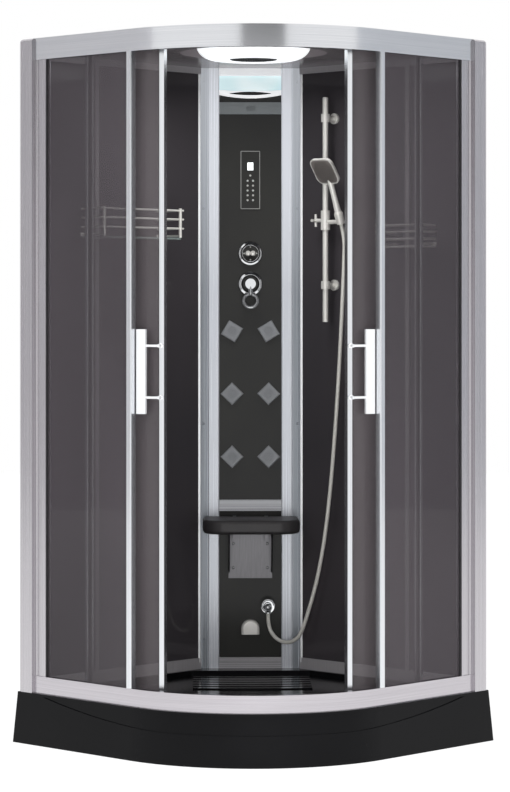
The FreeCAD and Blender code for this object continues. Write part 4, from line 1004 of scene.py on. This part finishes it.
# Cards that only mirrors see: name, middle, turn in degrees, width and height in metres, and tone.
FLAGS = (
    ("High_flag", (1.0, -10.0, 6.0), 0.0, (5.3, 6.2), "#2a2a2e"),
    ("Left_flag", (-5.0, 0.15, 2.7), 90.0, (3.7, 4.6), "#f8f6f8"),
    ("Right_flag", (5.0, 0.15, 2.7), 90.0, (3.7, 4.6), "#f6f8fc"),
)

# The photograph as a pinhole view, in pixels: focal length, height, middle column and row, and the column
# and row that the view straight ahead meets. Then the camera's place, and its sensor's height in
# millimetres.
FOCAL = 2795.0
PICTURE_TALL = 792.0
MIDDLE_COLUMN = 255.0
MIDDLE_ROW = 396.0
AHEAD_COLUMN = 198.8
HORIZON_ROW = 311.0
CAMERA_PLACE = (-0.1675, FRONT_Y - 8.05, 1.316)
SENSOR = 36.0


class CABIN_OT_stage(bpy.types.Operator):
    """Sets the floor, the lamps, the surroundings and the camera"""

    bl_idname = "cabin.stage"
    bl_label = "Stage"

    def execute(self, context):
        floor_finish()
        corners = [(x * FLOOR_HALF, y * FLOOR_HALF, 0) for x, y in SHEET]
        floor = mesh_piece("Studio_floor", corners, SHEET_FACE, "floor", None, smooth=False)
        floor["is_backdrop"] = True
        surroundings(context.scene)
        for softbox in SOFTBOXES:
            lamp(*softbox)
        for card in FLAGS:
            flag(*card)
        camera(context.scene)
        return {"FINISHED"}


def floor_finish():
    """Matt white studio sheet: the view sees it close to white, and it keeps a soft shadow."""
    material, tree, shader = start_material("Matt_studio_sheet", Roughness=0.7)
    weave = noise(tree, object_coordinates(tree), scale=3.0)
    colour_by(tree, shader, weave, [(0.3, "#ececec"), (0.7, "#f3f3f3")])
    glow = add(tree, "ShaderNodeEmission", {"Color": (1, 1, 1, 1), "Strength": FLOOR_GLOW})
    share = maths(tree, "MULTIPLY", seen_rays(tree), FLOOR_SHARE)
    mix = add(tree, "ShaderNodeMixShader", {0: share, 1: shader.outputs[0], 2: glow.outputs[0]})
    tree.links.new(mix.outputs[0], tree.nodes["Material Output"].inputs["Surface"])
    FINISHES["floor"] = material


def seen_rays(tree):
    """One for rays that the view, a mirror or a glass sends, and nought for lighting rays."""
    path = add(tree, "ShaderNodeLightPath").outputs
    first = maths(tree, "MAXIMUM", path["Is Camera Ray"], path["Is Glossy Ray"])
    return maths(tree, "MAXIMUM", first, path["Is Transmission Ray"])


def surroundings(scene):
    """A pale studio: white where it is seen, and a soft even light on the cabin."""
    world = bpy.data.worlds.new("Pale_studio")
    world.use_nodes = True
    scene.world = world
    tree = world.node_tree
    back = tree.nodes["Background"]
    back.inputs["Color"].default_value = (1, 1, 1, 1)
    back.inputs["Strength"].default_value = 1.0
    light = add(tree, "ShaderNodeBackground", {"Color": hex_linear("#f4f6f8"), "Strength": 0.42})
    mix = add(tree, "ShaderNodeMixShader", {0: seen_rays(tree), 1: light.outputs[0], 2: back.outputs[0]})
    tree.links.new(mix.outputs[0], tree.nodes["World Output"].inputs["Surface"])
    scene.view_settings.view_transform = "Standard"


def lamp(name, place, target, size, power):
    """A rectangular softbox that faces its target."""
    data = bpy.data.lights.new(name, "AREA")
    data.shape = "RECTANGLE"
    data.size, data.size_y = size
    data.energy = power
    item = bpy.data.objects.new(name, data)
    item.visible_glossy = False
    aim = (Vector(target) - Vector(place)).to_track_quat("-Z", "Y")
    item.matrix_world = Matrix.Translation(place) @ aim.to_matrix().to_4x4()
    bpy.context.scene.collection.objects.link(item)


def flag(name, place, turn, size, tone):
    """An upright felt card outside the view: rails and tubes mirror it as a soft band of its tone."""
    FINISHES[name], _, _ = start_material(name + "_felt", Roughness=0.9, Base_Color=hex_linear(tone))
    across = np.array([math.cos(math.radians(turn)), math.sin(math.radians(turn)), 0.0]) * size[0] / 2
    up = np.array([0.0, 0.0, size[1] / 2])
    corners = [np.array(place) + x * across + y * up for x, y in SHEET]
    card = mesh_piece(name, corners, SHEET_FACE, name, None, smooth=False)
    card.visible_camera = False
    card.visible_diffuse = False
    card.visible_transmission = False
    card.visible_shadow = False
    card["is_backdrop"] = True


def camera(scene):
    """A long lens, level, 8 m in front of the rails and 1.3 m up, as the photograph shows the cabin."""
    data = bpy.data.cameras.new("Camera")
    data.sensor_fit = "VERTICAL"
    data.sensor_height = SENSOR
    data.lens = SENSOR * FOCAL / PICTURE_TALL
    data.shift_y = -(MIDDLE_ROW - HORIZON_ROW) / PICTURE_TALL
    data.clip_end = 60.0
    item = bpy.data.objects.new("Camera", data)
    yaw = math.atan2(MIDDLE_COLUMN - AHEAD_COLUMN, FOCAL)
    facing = Matrix.Rotation(-yaw, 4, "Z") @ Matrix.Rotation(math.pi / 2, 4, "X")
    item.matrix_world = Matrix.Translation(CAMERA_PLACE) @ facing
    scene.collection.objects.link(item)
    scene.camera = item


# ---------------------------------------------------------------- add-on


class CABIN_PT_panel(bpy.types.Panel):
    """Lists the cabin's settings and steps in the 3D view's sidebar"""

    bl_idname = "CABIN_PT_panel"
    bl_label = "Steam Shower Cabin"
    bl_space_type = "VIEW_3D"
    bl_region_type = "UI"
    bl_category = "Cabin"

    def draw(self, context):
        for name in CabinSettings.__annotations__:
            self.layout.prop(context.scene.cabin, name)
        for step in STEPS:
            self.layout.operator(step.bl_idname)


STEPS = (
    CABIN_OT_finishes, CABIN_OT_hose, CABIN_OT_panel_marks, CABIN_OT_column_trims, CABIN_OT_valve_marks,
    CABIN_OT_nozzles, CABIN_OT_seals, CABIN_OT_screws, CABIN_OT_stage,
)
CLASSES = (CabinSettings, *STEPS, CABIN_PT_panel)


def register():
    for cls in CLASSES:
        bpy.utils.register_class(cls)
    bpy.types.Scene.cabin = PointerProperty(type=CabinSettings)


def unregister():
    del bpy.types.Scene.cabin
    for cls in reversed(CLASSES):
        bpy.utils.unregister_class(cls)


def plain(value):
    """Nested vectors as plain lists of numbers."""
    return [plain(v) for v in value] if hasattr(value, "__len__") else float(value)


def main():
    """Registers the add-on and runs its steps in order."""
    register()
    for step in STEPS:
        getattr(bpy.ops.cabin, step.bl_idname.split(".")[1])()
    {"cad": plain(CAD_BOX), "visual": plain(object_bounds())}


if __name__ == "__main__":
    main()
